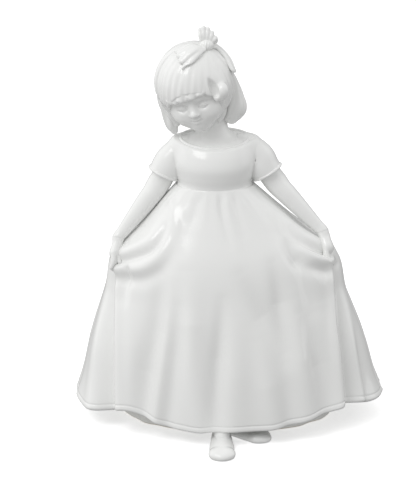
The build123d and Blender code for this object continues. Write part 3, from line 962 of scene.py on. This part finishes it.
def head_clay(grain):
    """The head, with a calm child's face of plain proportions and lowered eyelids."""
    axes = head_axes()
    clay = block("head", grain, 5, 4)
    clay.add(ball(on_head(0, 0, 0), SKULL_RADIUS), 0)
    clay.add(ball(on_head(0, -6.6, 4.6), (10.2, 8.6, 9.4), axes), 4)
    clay.add(ball(on_head(0, -12.2, 8.2), (5.4, 5.2, 5.6), axes), 4)
    for side in (-1, 1):
        clay.add(ball(on_head(side * 5.2, -8.4, 8.6), (5.0, 4.8, 5.4), axes), 3)
    # brow, eye sockets, lowered lids
    for side in (-1, 1):
        clay.cut(ball(on_head(side * 4.6, -3.8, 15.6), (2.9, 1.9, 2.1), axes), 1.6)
        clay.add(ball(on_head(side * 4.5, -4.3, 11.75), (2.45, 1.9, 2.35), axes), 0.5)
        lid = [(2.3, -4.7, 13.5), (3.4, -5.4, 13.9), (4.8, -5.6, 13.8), (6.6, -4.8, 12.9)]
        clay.cut(roll([on_head(side * a, b, c + 0.25) for a, b, c in lid], (0.2, 0.3, 0.3, 0.18)), 0.35)
        brow = [(2.2, -1.5, 14.3), (4.6, -0.9, 13.9), (7.4, -2.0, 12.4)]
        clay.add(roll([on_head(side * a, b, c) for a, b, c in brow], (0.5, 0.65, 0.4)), 1.6)
    # nose
    clay.add(
        roll([on_head(0, -2.6, 13.3), on_head(0, -4.8, 14.3), on_head(0, -6.9, 15.7)], (1.0, 1.05, 1.25)),
        1.5,
    )
    clay.add(ball(on_head(0, -7.1, 15.9), (1.35, 1.15, 1.15), axes), 0.8)
    for side in (-1, 1):
        clay.add(ball(on_head(side * 1.35, -7.6, 15.0), (0.85, 0.75, 0.95), axes), 0.6)
        clay.cut(ball(on_head(side * 0.65, -8.35, 15.7), (0.36, 0.3, 0.5), axes), 0.3)
    # mouth and chin
    clay.cut(ball(on_head(0, -9.0, 16.4), (0.5, 0.8, 0.8), axes), 0.6)
    clay.add(
        roll(
            [on_head(-2.2, -10.1, 13.9), on_head(-0.8, -9.75, 14.75), on_head(0, -9.9, 14.9),
             on_head(0.8, -9.75, 14.75), on_head(2.2, -10.1, 13.9)],
            (0.3, 0.55, 0.5, 0.55, 0.3),
        ),
        0.5,
    )
    lower_lip = [on_head(-1.7, -10.9, 13.8), on_head(0, -11.2, 14.6), on_head(1.7, -10.9, 13.8)]
    clay.add(roll(lower_lip, (0.3, 0.68, 0.3)), 0.5)
    clay.cut(
        roll(
            [on_head(-2.5, -10.2, 14.2), on_head(-0.9, -10.45, 15.2), on_head(0.9, -10.45, 15.2),
             on_head(2.5, -10.2, 14.2)],
            (0.2, 0.24, 0.24, 0.2),
        ),
        0.3,
    )
    clay.add(ball(on_head(0, -14.0, 11.2), (2.4, 2.0, 2.2), axes), 2.0)
    return clay


# ---------------------------------------------------------------- hair
def hair_masses():
    """The two oval balls that the combed hair lies on: the crown and the fall at the back."""
    return (
        (beside_head(0.2, 0, 0), np.array((16.1, 16.4, 16.7))),
        (beside_head(0.9, 3.6, -6.0), np.array((13.2, 12.6, 12.4))),
    )


def hair_reach(direction):
    """How far the combed hair stands from the skull's centre, in a direction."""
    best = 0
    for centre, radii in hair_masses():
        start = (skull_centre() - centre) / radii
        step = direction / radii
        a, b, c = step @ step, start @ step, start @ start - 1
        best = max(best, (-b + math.sqrt(max(b * b - a * c, 0))) / a)
    return best


def strand(stops, width, rises, tip=0.5):
    """A strand of hair combed over the head, through directions from the skull's centre.

    The two rises are how far it stands out at its start and at its end.
    """
    line = smooth_line([unit(stop) for stop in stops], 4)
    shares = np.linspace(0, 1, len(line))
    radii = width * (tip + (1 - tip) * np.sin(math.pi * np.clip(shares * 0.86 + 0.1, 0, 1)) ** 0.7)
    lifts = np.linspace(*rises, len(line))
    points = []
    for direction, radius, lift in zip(line, radii, lifts):
        direction = unit(direction)
        points.append(skull_centre() + direction * (hair_reach(direction) + lift - radius))
    return roll(points, radii, steps=2)


def lock(clay, points, radii, count, turn, soft=0.35):
    """A lock of hair: a core with strands lying round it, slowly twisting."""
    points = np.asarray(points, float)
    radii = np.asarray(radii, float)
    clay.add(roll(points, radii * 0.86), soft)
    heading = unit(points[-1] - points[0])
    one = unit(np.cross(heading, (0.2, 1, 0.1)))
    two = np.cross(heading, one)
    steps = np.linspace(0, 1, len(points))
    for i in range(count):
        path = []
        for point, radius, share in zip(points, radii, steps):
            angle = 2 * math.pi * i / count + turn * share
            path.append(point + (one * math.cos(angle) + two * math.sin(angle)) * radius * 0.58)
        clay.add(roll(path, radii * 0.44), soft)
    return clay


def knot_direction():
    """From the skull's centre to the knot of the bow."""
    return unit(spot("bow_knot", 0.5, 0.5, 0.5) - skull_centre())


def hair_cap_clay(grain):
    """Combed hair: strands fan out from the knot over the crown and down to the nape."""
    sizes = bpy.context.scene.figurine_sizes
    clay = block("hair_cap", grain)
    for centre, radii in hair_masses():
        clay.add(ball(centre, radii), 2.0)
    pole = knot_direction()
    one = unit(np.cross(pole, (0, 0, 1)))
    two = np.cross(pole, one)
    count = 34
    for i in range(count):
        around = 2 * math.pi * (i + 0.25 * math.sin(2.4 * i)) / count
        stops = []
        for tilt in (0.16, 0.6, 1.1, 1.6, 2.05):
            swing = around + 0.30 * tilt + 0.05 * math.sin(3 * i + 2 * tilt)
            stops.append(
                pole * math.cos(tilt) + (one * math.cos(swing) + two * math.sin(swing)) * math.sin(tilt)
            )
        rises = (sizes.strand_rise * 0.5, sizes.strand_rise * 1.2)
        clay.add(strand(stops, 1.7 + 0.25 * math.sin(5.1 * i), rises, 0.4), 0.9)
    # the ends turn under at the nape, in a row of rounded tips
    for i in range(9):
        share = i / 8
        way = (0.2 - share * 0.4) * math.pi * 3.2 + math.pi / 2
        foot = beside_head(0.8 + 11.2 * math.cos(way), 3.4 + 9.6 * math.sin(way), -16.0)
        rise = foot + np.array((0.2 * math.cos(way), 0.4, 8.0))
        tuck = foot + np.array((-2.6 * math.cos(way), -2.6 * math.sin(way), -1.6))
        clay.add(roll([rise, foot + (0, 0, 3.5), tuck], (2.2, 2.3, 1.3)), 0.8)
    axes = head_axes()
    clay.cut(curl_hollow(), 0.5)
    clay.cut(ball(on_head(0, -8.6, 15.0), (11.6, 11.2, 11.0), axes), 0.8)
    clay.cut(ball(beside_head(2.0, -8.0, -20.0), (11.0, 12.0, 9.0)), 0.8)
    clay.cut(ball(skull_centre(), HAIR_INSIDE - 0.1), 0.0)
    clay.slice_off(beside_head(0, 0, -19.2), (0, 0, -1), 1.0)
    return clay


def curl_hollow():
    """The dark hollow inside the curl of the swept lock, open towards the brow."""
    path = [beside_head(6.0, -15.6, 4.8), beside_head(7.6, -15.0, 1.6), beside_head(8.8, -14.6, -1.6)]
    return roll(path, (0.7, 1.7, 1.6))


def fringe_clay(grain):
    """The fringe: strands swept from the parting across the forehead, ending in small tips."""
    clay = block("fringe", grain, 5, 5)
    starts = smooth_line(
        [(-15.0, -4.0, 6.0), (-10.0, -10.0, 10.5), (-2.0, -13.0, 10.6), (4.2, -13.6, 8.6)], 8
    )
    ends = smooth_line(
        [(-13.4, -9.0, -6.6), (-8.2, -13.6, -5.2), (-3.3, -16.3, -3.2), (1.5, -16.6, -1.4),
         (6.4, -15.6, 1.0)], 8
    )
    count = 13
    for i in range(count):
        share = i / (count - 1)
        start = starts[int(round(share * (len(starts) - 1)))]
        end = ends[int(round(share * (len(ends) - 1)))]
        middle = (start + end) / 2 + np.array((1.4 * math.sin(math.pi * share), 0, 0.6))
        hook = end + np.array((-0.9 + 0.9 * math.sin(2.3 * i), 0, -0.7 + 0.6 * math.sin(3.7 * i)))
        rises = (-0.2, 0.5 + 0.25 * math.sin(4.0 * i))
        clay.add(strand([start, middle, end, hook], 1.7, rises, 0.34), 0.4)
    clay.cut(curl_hollow(), 0.5)
    clay.cut(ball(skull_centre(), HAIR_INSIDE), 0.0)
    return clay


def swept_lock_clay(grain):
    """The lock swept from the parting to the side, curling under beside the brow."""
    clay = block("swept_lock", grain, 5, 5)
    for i in range(6):
        share = i / 5
        start = np.array((4.0 + 2.6 * share, -13.4 + 4.0 * share, 9.4 + 2.4 * share))
        middle = np.array((6.4 + 5.0 * share, -14.8 + 4.0 * share, 5.2 + 1.6 * share))
        low_stop = np.array((9.0 + 5.0 * share, -14.6 + 4.0 * share, -0.4 + 1.2 * share))
        end = np.array((9.4 + 4.4 * share, -13.2 + 3.6 * share, -4.0 + 1.0 * share))
        rises = (0.0, 1.3 + 0.5 * math.sin(math.pi * share))
        clay.add(strand([start, middle, low_stop, end], 1.9, rises, 0.5), 0.4)
    clay.add(ball(beside_head(11.5, -13.2, -0.5), (2.6, 2.9, 3.4)), 1.0)
    clay.cut(curl_hollow(), 0.5)
    clay.cut(ball(skull_centre(), HAIR_INSIDE), 0.0)
    return clay


def side_lock_clay(side, grain):
    """One of the two locks that fall beside the cheeks."""
    clay = block(f"side_lock_{side}", grain, 4, 4)
    if side == "right":
        stops = (-13.6, 1, -1), (-12.8, 2, -7), (-11.0, 2.6, -13), (-9.2, 3.2, -18.5), (-8.2, 3.6, -21.6)
        radii, count, turn = (1.6, 2.6, 2.8, 2.7, 1.5), 5, 2.2
    else:
        stops = (14.0, -1.5, 6.0), (15.2, 0.5, 0.5), (16.6, 2, -5.5), (17.2, 3, -11.5), (15.4, 3.2, -15.4)
        radii, count, turn = (1.4, 2.6, 3.6, 4.7, 3.4), 7, 1.6
    return lock(clay, [beside_head(*stop) for stop in stops], radii, count, turn, 0.22)


# ---------------------------------------------------------------- bow
def bow_clays(grain):
    """The four pieces of the ribbon bow, by node."""
    heart = spot("bow_knot", 0.5, 0.5, 0.5)
    clays = {}
    clay = block("bow_knot", grain)
    clay.add(ball(heart + (0, -0.2, 0.2), (2.9, 2.5, 2.3)), 0)
    for shift in (-1.0, 0.1, 1.2):
        crease = [
            heart + (shift - 0.4, -2.3, -2.0), heart + (shift, -2.6, 0.2), heart + (shift + 0.3, -1.6, 2.4)
        ]
        clay.cut(roll(crease, (0.2, 0.28, 0.2)), 0.4)
    clays["bow_knot"] = clay

    # upright loop: a pleated fan of ribbon, folded over at the top
    base = heart + np.array((0, 0.4, 1.0))
    clay = block("bow_loop_upright", grain)
    # (sideways at the foot, sideways at the top, height above the knot) of each pleat
    pleats = (-1.7, -2.7, 6.2), (-0.9, -1.3, 7.0), (0.0, 0.4, 6.4), (0.8, 2.0, 5.0), (1.5, 3.4, 3.0)
    for foot, out, tall in pleats:
        start = base + (foot, 0, 0)
        top = heart + (out, 0.7, tall)
        waist = (start + top) / 2 + np.array((out * 0.12, -0.6, 0.2))
        clay.add(roll([start, waist, top], (0.95, 1.02, 0.85)), 0.12)
        clay.add(roll([top, top + (0.1, 1.3, -1.8), start + (0, 1.3, 0.6)], (0.85, 0.95, 0.8)), 0.5)
    clays["bow_loop_upright"] = clay

    # side loop: lies on the hair towards the figure's right and opens at its lower edge
    clay = block("bow_loop_side", grain, 3, 4)
    root = beside_head(3.6, -8.2, 15.4)
    upper = [root, beside_head(-1.4, -7.6, 16.4), beside_head(-6.4, -8.2, 14.8)]
    lower = [root, beside_head(0.6, -11.6, 13.6), beside_head(-3.6, -14.0, 9.2)]
    outward = unit((-0.25, -0.62, 0.74))
    for share in (0.0, 0.33, 0.66, 1.0):
        path = [a * (1 - share) + b * share for a, b in zip(upper, lower)]
        crown = 1.2 * math.sin(math.pi * share)
        path = [p + outward * crown * k for p, k in zip(path, (0.0, 1.0, 0.9))]
        clay.add(roll(path, (1.1, 1.7, 1.6), outward, 0.62), 0.35)
    clay.cut(
        roll([beside_head(1.6, -11.9, 11.6), beside_head(-1.0, -13.4, 9.9), beside_head(-3.6, -15.0, 8.4)],
             (0.6, 0.95, 1.05)),
        0.4,
    )
    clays["bow_loop_side"] = clay

    # tail: runs back from the knot and down the side of the head
    clay = block("bow_tail", grain, 4, 4)
    path = [heart + (1.0, 0.8, 0), beside_head(9.4, -1.6, 15.0), beside_head(13.4, -2.4, 11.0),
            beside_head(15.6, -4.6, 6.6)]
    away = unit((0.7, -0.1, 0.7))
    clay.add(roll(path, (1.4, 2.0, 2.3, 2.0), away, 0.45), 0)
    groove = [point + away + (0, -0.39, 0) for point in path]
    clay.cut(roll(groove, (0.3, 0.4, 0.4, 0.3)), 0.4)
    clays["bow_tail"] = clay
    return clays


# ---------------------------------------------------------------- arms, sleeves and hands
class ArmPlan:
    """Where one arm runs. side is -1 on the figure's right and 1 on its left."""

    def __init__(self, name):
        self.name = name
        self.side = -1 if name == "right" else 1
        inner = 1.0 if self.side < 0 else 0.0
        outer = 1 - inner

        def at(out, deep, up):
            return spot(f"arm_{name}", inner + (outer - inner) * out, deep, up)

        self.shoulder = at(0.06, 0.59, 0.93)
        self.elbow = at(0.30, 0.59, 0.585)
        self.wrist = at(0.93, 0.235, 0.045)
        self.cuff = spot(f"sleeve_hem_{name}", 0.5, 0.5, 0.5)
        self.down = unit(self.elbow - self.shoulder)


def arm_clay(plan, grain):
    """Arm and hand in one, to be parted at the wrist."""
    low_arm, high_arm = corners(f"arm_{plan.name}")
    low_hand, high_hand = corners(f"hand_{plan.name}")
    low = np.minimum(low_arm, low_hand) - 5
    high = np.maximum(high_arm, high_hand) + 3
    clay = Clay(low, high, grain)
    upper = plan.elbow - plan.shoulder
    lower = plan.wrist - plan.elbow
    clay.add(
        roll(
            [plan.shoulder, plan.shoulder + upper * 0.55, plan.elbow, plan.elbow + lower * 0.25,
             plan.elbow + lower * 0.6, plan.wrist],
            (5.0, 5.0, 4.55, 4.35, 3.5, 2.35),
        ),
        0,
    )
    clay.add(ball(plan.elbow + (plan.side * 1.2, 1.2, -0.4), (3.6, 3.9, 4.2)), 2.5)
    side = plan.side
    grip = spot(f"hand_{plan.name}", 0.5, 0.10, 0.0)
    way = unit(grip - plan.wrist)
    knuckles = plan.wrist + way * 6.0 + np.array((side * 0.5, -1.0, 0))
    across = unit(np.cross(way, (0, 0, 1)) + np.array((0, -0.9, 0.0)))
    across = unit(across - way * (across @ way))
    flat = np.cross(way, across)
    clay.add(
        roll([plan.wrist, plan.wrist + way * 2.8, knuckles], (2.4, 3.1, 3.5), flat, 0.75), 1.6
    )
    # fingers close over the gathered cloth
    for i in range(4):
        out = (i - 1.5) * 1.75
        root = knuckles + across * out * 0.95
        middle = root + way * 3.6 + flat * 0.5 * side + across * out * 0.05
        tip = root + way * (7.4 - 0.5 * abs(i - 1.2)) - flat * 0.3 * side
        clay.add(roll([root, middle, tip], (1.2, 1.15, 0.9)), 0.3)
    # thumb along the front
    base = plan.wrist + way * 2.2 - across * 0.6 + flat * -side * 1.2
    tip = knuckles + way * 3.6 + np.array((-side * 2.2, -1.6, 0))
    clay.add(roll([base, (base + tip) / 2 + (0, -0.8, 0), tip], (1.4, 1.2, 0.9)), 0.7)
    return clay, way


def sleeve_clay(plan, grain):
    """A short sleeve, eased over the shoulder, with creases running to the armpit."""
    side = plan.side
    clay = block(f"sleeve_{plan.name}", grain, 5, 4)
    clay.add(
        roll(
            [plan.shoulder + (-side * 7.4, 0.2, 3.2), plan.shoulder + (-side * 3.0, 0.0, 1.4),
             plan.shoulder + plan.down * 3.2 + (-side * 0.4, 0, 0.2),
             plan.cuff - plan.down * 3.2 + (-side * 0.3, 0, 0), plan.cuff + plan.down * 1.0],
            (4.0, 5.6, 6.4, 6.9, 6.5),
        ),
        0,
    )
    pit = plan.cuff + np.array((-side * 5.6, -2.6, 1.6))
    for out, lift, depth in ((1.0, 9.5, 0.55), (3.6, 7.6, 0.6), (6.0, 5.0, 0.4)):
        top = pit + np.array((side * out * 0.55, -1.0, lift))
        middle = (pit + top) / 2 + np.array((side * out * 0.35, -2.2, 0))
        clay.cut(roll([pit + (side * out * 0.25, 0, 0), middle, top], (depth, depth, 0.15)), 0.8)
    clay.slice_off(plan.cuff + plan.down * 0.2, plan.down, 0.3)
    return clay


# ---------------------------------------------------------------- shoes
def shoe_clay(name, grain):
    """A flat slipper with a soft square toe."""
    low, high = corners(f"shoe_{name}")
    clay = Clay(low - (2, 2, 2), high + (3, 3, 4), grain)
    if name == "right":
        toe = np.array(((low[0] + high[0]) / 2, low[1], 0.0))
        heel = np.array((toe[0] - 0.2, high[1] + 3.0, 0.0))
        half = (high[0] - low[0]) / 2
    else:
        toe = np.array((high[0] - 1.8, low[1] + 1.6, 0.0))
        heel = np.array((low[0] + 1.0, high[1] + 1.0, 0.0))
        half = 5.0
    way = unit(heel - toe)
    length = np.linalg.norm(heel - toe)
    tall = high[2]
    stations = ((0.12, 0.84, 0.42), (0.30, 0.96, 0.44), (0.55, 0.86, 0.56), (0.80, 0.74, 0.66))
    points = [toe + way * length * share + (0, 0, tall * up * 0.62) for share, _, up in stations]
    radii = [half * wide for _, wide, _ in stations]
    clay.add(roll(points, radii, (0, 0, 1), 0.56), 0)
    sideways = np.array((-way[1], way[0], 0))
    for shift in (-0.42, 0.42):
        clay.add(ball(toe + way * 3.8 + sideways * half * shift + (0, 0, 1.9), (3.2, 3.4, 2.2)), 1.2)
    clay.slice_off((0, 0, 0.12), (0, 0, -1), 0.4)
    return clay


# ---------------------------------------------------------------- operators
def sizes():
    """The sizes that the panel shows."""
    return bpy.context.scene.figurine_sizes


def sculpt(name, clay, node_name, material=None):
    """Skins a block of clay and puts it in the place of a node."""
    points, faces = clay.skin()
    return piece_from(name, points, faces, material or glazed_porcelain(), node_name)


class FIGURINE_OT_skirt(bpy.types.Operator):
    """Folded skirt, hollow from the hem"""

    bl_idname = "figurine.skirt"
    bl_label = "Skirt"

    def execute(self, context):
        make_skirt(glazed_porcelain())
        return {"FINISHED"}


class FIGURINE_OT_petticoat(bpy.types.Operator):
    """Pleated petticoat with the unglazed foot rim"""

    bl_idname = "figurine.petticoat"
    bl_label = "Petticoat"

    def execute(self, context):
        make_petticoat(biscuit_porcelain())
        return {"FINISHED"}


class FIGURINE_OT_bodice(bpy.types.Operator):
    """Bodice and the rolled trim of its neckline"""

    bl_idname = "figurine.bodice"
    bl_label = "Bodice"

    def execute(self, context):
        sculpt("bodice_dress", bodice_clay(sizes().grain), "bodice")
        middle, across, along = neckline_plane()
        low, high = corners("neckline_trim")
        trim = 0.7
        points, faces = hoop(
            middle, across, along,
            (high[0] - low[0]) / 2 - trim, (high[1] - low[1]) / 2 - trim, trim,
        )
        plane = middle[2] + (points[:, 1] - middle[1]) * along[2] / along[1]
        points[:, 2] += neckline_height(points[:, 0], points[:, 1]) - plane - 0.1
        piece_from("neckline_roll", points, faces, glazed_porcelain(), "neckline_trim")
        return {"FINISHED"}


class FIGURINE_OT_head(bpy.types.Operator):
    """Head with its face, and the neck"""

    bl_idname = "figurine.head"
    bl_label = "Head and neck"

    def execute(self, context):
        sculpt("head_face", head_clay(sizes().grain * 0.8), "head")
        sculpt("neck_throat", neck_clay(sizes().grain), "neck")
        return {"FINISHED"}


class FIGURINE_OT_hair(bpy.types.Operator):
    """Combed hair, fringe and locks"""

    bl_idname = "figurine.hair"
    bl_label = "Hair"

    def execute(self, context):
        grain = sizes().grain * 0.9
        sculpt("hair_combed", hair_cap_clay(grain), "hair_cap")
        sculpt("hair_fringe", fringe_clay(grain), "fringe")
        sculpt("hair_swept_lock", swept_lock_clay(grain), "swept_lock")
        for side in ("right", "left"):
            sculpt(f"hair_lock_{side}", side_lock_clay(side, grain), f"side_lock_{side}")
        return {"FINISHED"}


class FIGURINE_OT_bow(bpy.types.Operator):
    """Ribbon bow"""

    bl_idname = "figurine.bow"
    bl_label = "Bow"

    def execute(self, context):
        for node_name, clay in bow_clays(sizes().grain * 0.8).items():
            sculpt(f"ribbon_{node_name}", clay, node_name)
        return {"FINISHED"}


class FIGURINE_OT_arms(bpy.types.Operator):
    """Sleeves with their hems, arms and hands"""

    bl_idname = "figurine.arms"
    bl_label = "Arms"

    def execute(self, context):
        grain = sizes().grain
        tuck = 0.9  # how far the hand reaches up inside the end of the arm
        slimmer = 0.12  # how far the hand's skin lies inside the arm's
        cuff_radius, band = 6.5, 0.62
        for name in ("right", "left"):
            plan = ArmPlan(name)
            clay, way = arm_clay(plan, grain * 0.9)
            hand = clay.copy()
            clay.slice_off(plan.wrist, way)
            hand.field += slimmer * (hand.field > -1)
            hand.slice_off(plan.wrist - way * tuck, -way)
            sculpt(f"bare_arm_{name}", clay, f"arm_{name}")
            sculpt(f"bare_hand_{name}", hand, f"hand_{name}")
            sculpt(f"dress_sleeve_{name}", sleeve_clay(plan, grain), f"sleeve_{name}")
            across = unit(np.cross(plan.down, (0, 1, 0)))
            along = np.cross(plan.down, across)
            points, faces = hoop(plan.cuff, across, along, cuff_radius, cuff_radius, band)
            piece_from(
                f"dress_sleeve_hem_{name}", points, faces, glazed_porcelain(), f"sleeve_hem_{name}"
            )
        return {"FINISHED"}


class FIGURINE_OT_shoes(bpy.types.Operator):
    """Slippers and the ankle above the leading one"""

    bl_idname = "figurine.shoes"
    bl_label = "Shoes"

    def execute(self, context):
        grain = sizes().grain * 0.85
        for name in ("right", "left"):
            sculpt(f"slipper_{name}", shoe_clay(name, grain), f"shoe_{name}")
        low, high = corners("ankle_right")
        clay = Clay(low - 3, high + 3, grain)
        x = (low[0] + high[0]) / 2
        clay.add(
            roll([(x, low[1] + 2.6, low[2] + 0.4), (x, (low[1] + high[1]) / 2, low[2] + 4),
                  (x, high[1] - 2.4, high[2] - 0.4)], (3.4, 3.5, 3.3)),
            0,
        )
        sculpt("bare_ankle_right", clay, "ankle_right")
        return {"FINISHED"}


class FIGURINE_OT_stage(bpy.types.Operator):
    """White floor, soft lights and the camera"""

    bl_idname = "figurine.stage"
    bl_label = "Stage"

    def execute(self, context):
        scene = context.scene
        stage = scene.figurine_stage
        reach = 6.0
        square = [(-reach, -reach, 0), (reach, -reach, 0), (reach, reach, 0), (-reach, reach, 0)]
        mesh = bpy.data.meshes.new("floor")
        mesh.from_pydata(square, [], [(0, 1, 2, 3)])
        material, tree = blank_material("white_paper_sweep")
        paper = node(tree, "ShaderNodeBsdfDiffuse", {"Color": linear(stage.floor_hex)})
        glow = node(tree, "ShaderNodeEmission", {"Color": (1, 1, 1, 1), "Strength": stage.paper_glow})
        both = node(tree, "ShaderNodeAddShader", {0: paper.outputs["BSDF"], 1: glow.outputs["Emission"]})
        node(tree, "ShaderNodeOutputMaterial", {"Surface": both.outputs["Shader"]})
        mesh.materials.append(material)
        floor = bpy.data.objects.new("floor", mesh)
        scene.collection.objects.link(floor)
        # The white sweep neither lights the figurine nor shows as a hard edge in its glaze.
        floor.visible_diffuse = False
        floor.visible_glossy = False

        # A soft dome, brightest above the figure's right shoulder.
        brightest_way, dim, bright = (-0.45, -0.30, 0.84), 0.26, 1.0
        world = bpy.data.worlds.new("studio")
        world.use_nodes = True
        tree = world.node_tree
        tree.nodes.clear()
        way = node(tree, "ShaderNodeTexCoord").outputs["Generated"]
        toward_light = node(
            tree, "ShaderNodeVectorMath", {0: way, 1: brightest_way}, operation="DOT_PRODUCT"
        ).outputs["Value"]
        dome = node(
            tree, "ShaderNodeMapRange",
            {"Value": toward_light, "From Min": -1.0, "From Max": 1.0, "To Min": dim, "To Max": bright},
        )
        sky = node(tree, "ShaderNodeBackground", {"Strength": dome.outputs["Result"]})
        node(tree, "ShaderNodeOutputWorld", {"Surface": sky.outputs["Background"]})
        scene.world = world

        aim = Vector(((cad_box[0].x + cad_box[1].x) / 2, 0, cad_box[1].z * 0.45))
        # (name, place, width, watts)
        for name, place, width, watts in (
            ("key", (-0.60, -0.70, 1.00), 0.60, 4.4),
            ("left_wall", (-1.05, 0.25, 0.45), 1.0, 1.6),
            ("right_wall", (1.05, 0.10, 0.45), 1.0, 2.6),
        ):
            data = bpy.data.lights.new(name, "AREA")
            data.size = width
            data.energy = watts
            lamp = bpy.data.objects.new(name, data)
            lamp.location = place
            lamp.rotation_euler = (aim - Vector(place)).to_track_quat("-Z", "Y").to_euler()
            scene.collection.objects.link(lamp)

        view = Vector((-0.0088, 0.0, 0.0755))  # the point at the middle of the picture
        tilt = stage.camera_height
        optics = bpy.data.cameras.new("camera")
        optics.lens = stage.lens
        optics.sensor_width = 36
        optics.clip_start = 0.01
        camera = bpy.data.objects.new("camera", optics)
        away = Vector((0, -math.cos(tilt), math.sin(tilt)))
        camera.location = view + away * stage.camera_distance
        camera.rotation_euler = (math.pi / 2 - tilt, 0, 0)
        scene.collection.objects.link(camera)
        scene.camera = camera
        scene.view_settings.view_transform = "Standard"
        return {"FINISHED"}


class FIGURINE_PT_panel(bpy.types.Panel):
    """Lists the pieces of the figurine"""

    bl_label = "Porcelain figurine"
    bl_idname = "FIGURINE_PT_panel"
    bl_space_type = "VIEW_3D"
    bl_region_type = "UI"
    bl_category = "Figurine"

    def draw(self, context):
        layout = self.layout
        for name, group in GROUPS.items():
            for key in group.__annotations__:
                layout.prop(getattr(context.scene, name), key)
        for operator in OPERATORS:
            layout.operator(operator.bl_idname)


OPERATORS = (
    FIGURINE_OT_stage,
    FIGURINE_OT_skirt,
    FIGURINE_OT_petticoat,
    FIGURINE_OT_bodice,
    FIGURINE_OT_arms,
    FIGURINE_OT_head,
    FIGURINE_OT_hair,
    FIGURINE_OT_bow,
    FIGURINE_OT_shoes,
)
GROUPS = {
    "figurine_sizes": FigurineSizes,
    "figurine_finish": FigurineFinish,
    "figurine_stage": FigurineStage,
}


def register():
    """Makes the classes and the scene's settings known."""
    for group in GROUPS.values():
        bpy.utils.register_class(group)
    for name, group in GROUPS.items():
        setattr(bpy.types.Scene, name, bpy.props.PointerProperty(type=group))
    for operator in OPERATORS:
        bpy.utils.register_class(operator)
    bpy.utils.register_class(FIGURINE_PT_panel)


def unregister():
    """Takes them away again."""
    bpy.utils.unregister_class(FIGURINE_PT_panel)
    for operator in reversed(OPERATORS):
        bpy.utils.unregister_class(operator)
    for name in GROUPS:
        delattr(bpy.types.Scene, name)
    for group in reversed(list(GROUPS.values())):
        bpy.utils.unregister_class(group)


def main():
    """Builds every piece in order."""
    register()
    for operator in OPERATORS:
        family, name = operator.bl_idname.split(".")
        getattr(getattr(bpy.ops, family), name)()


if __name__ == "__main__":
    main()
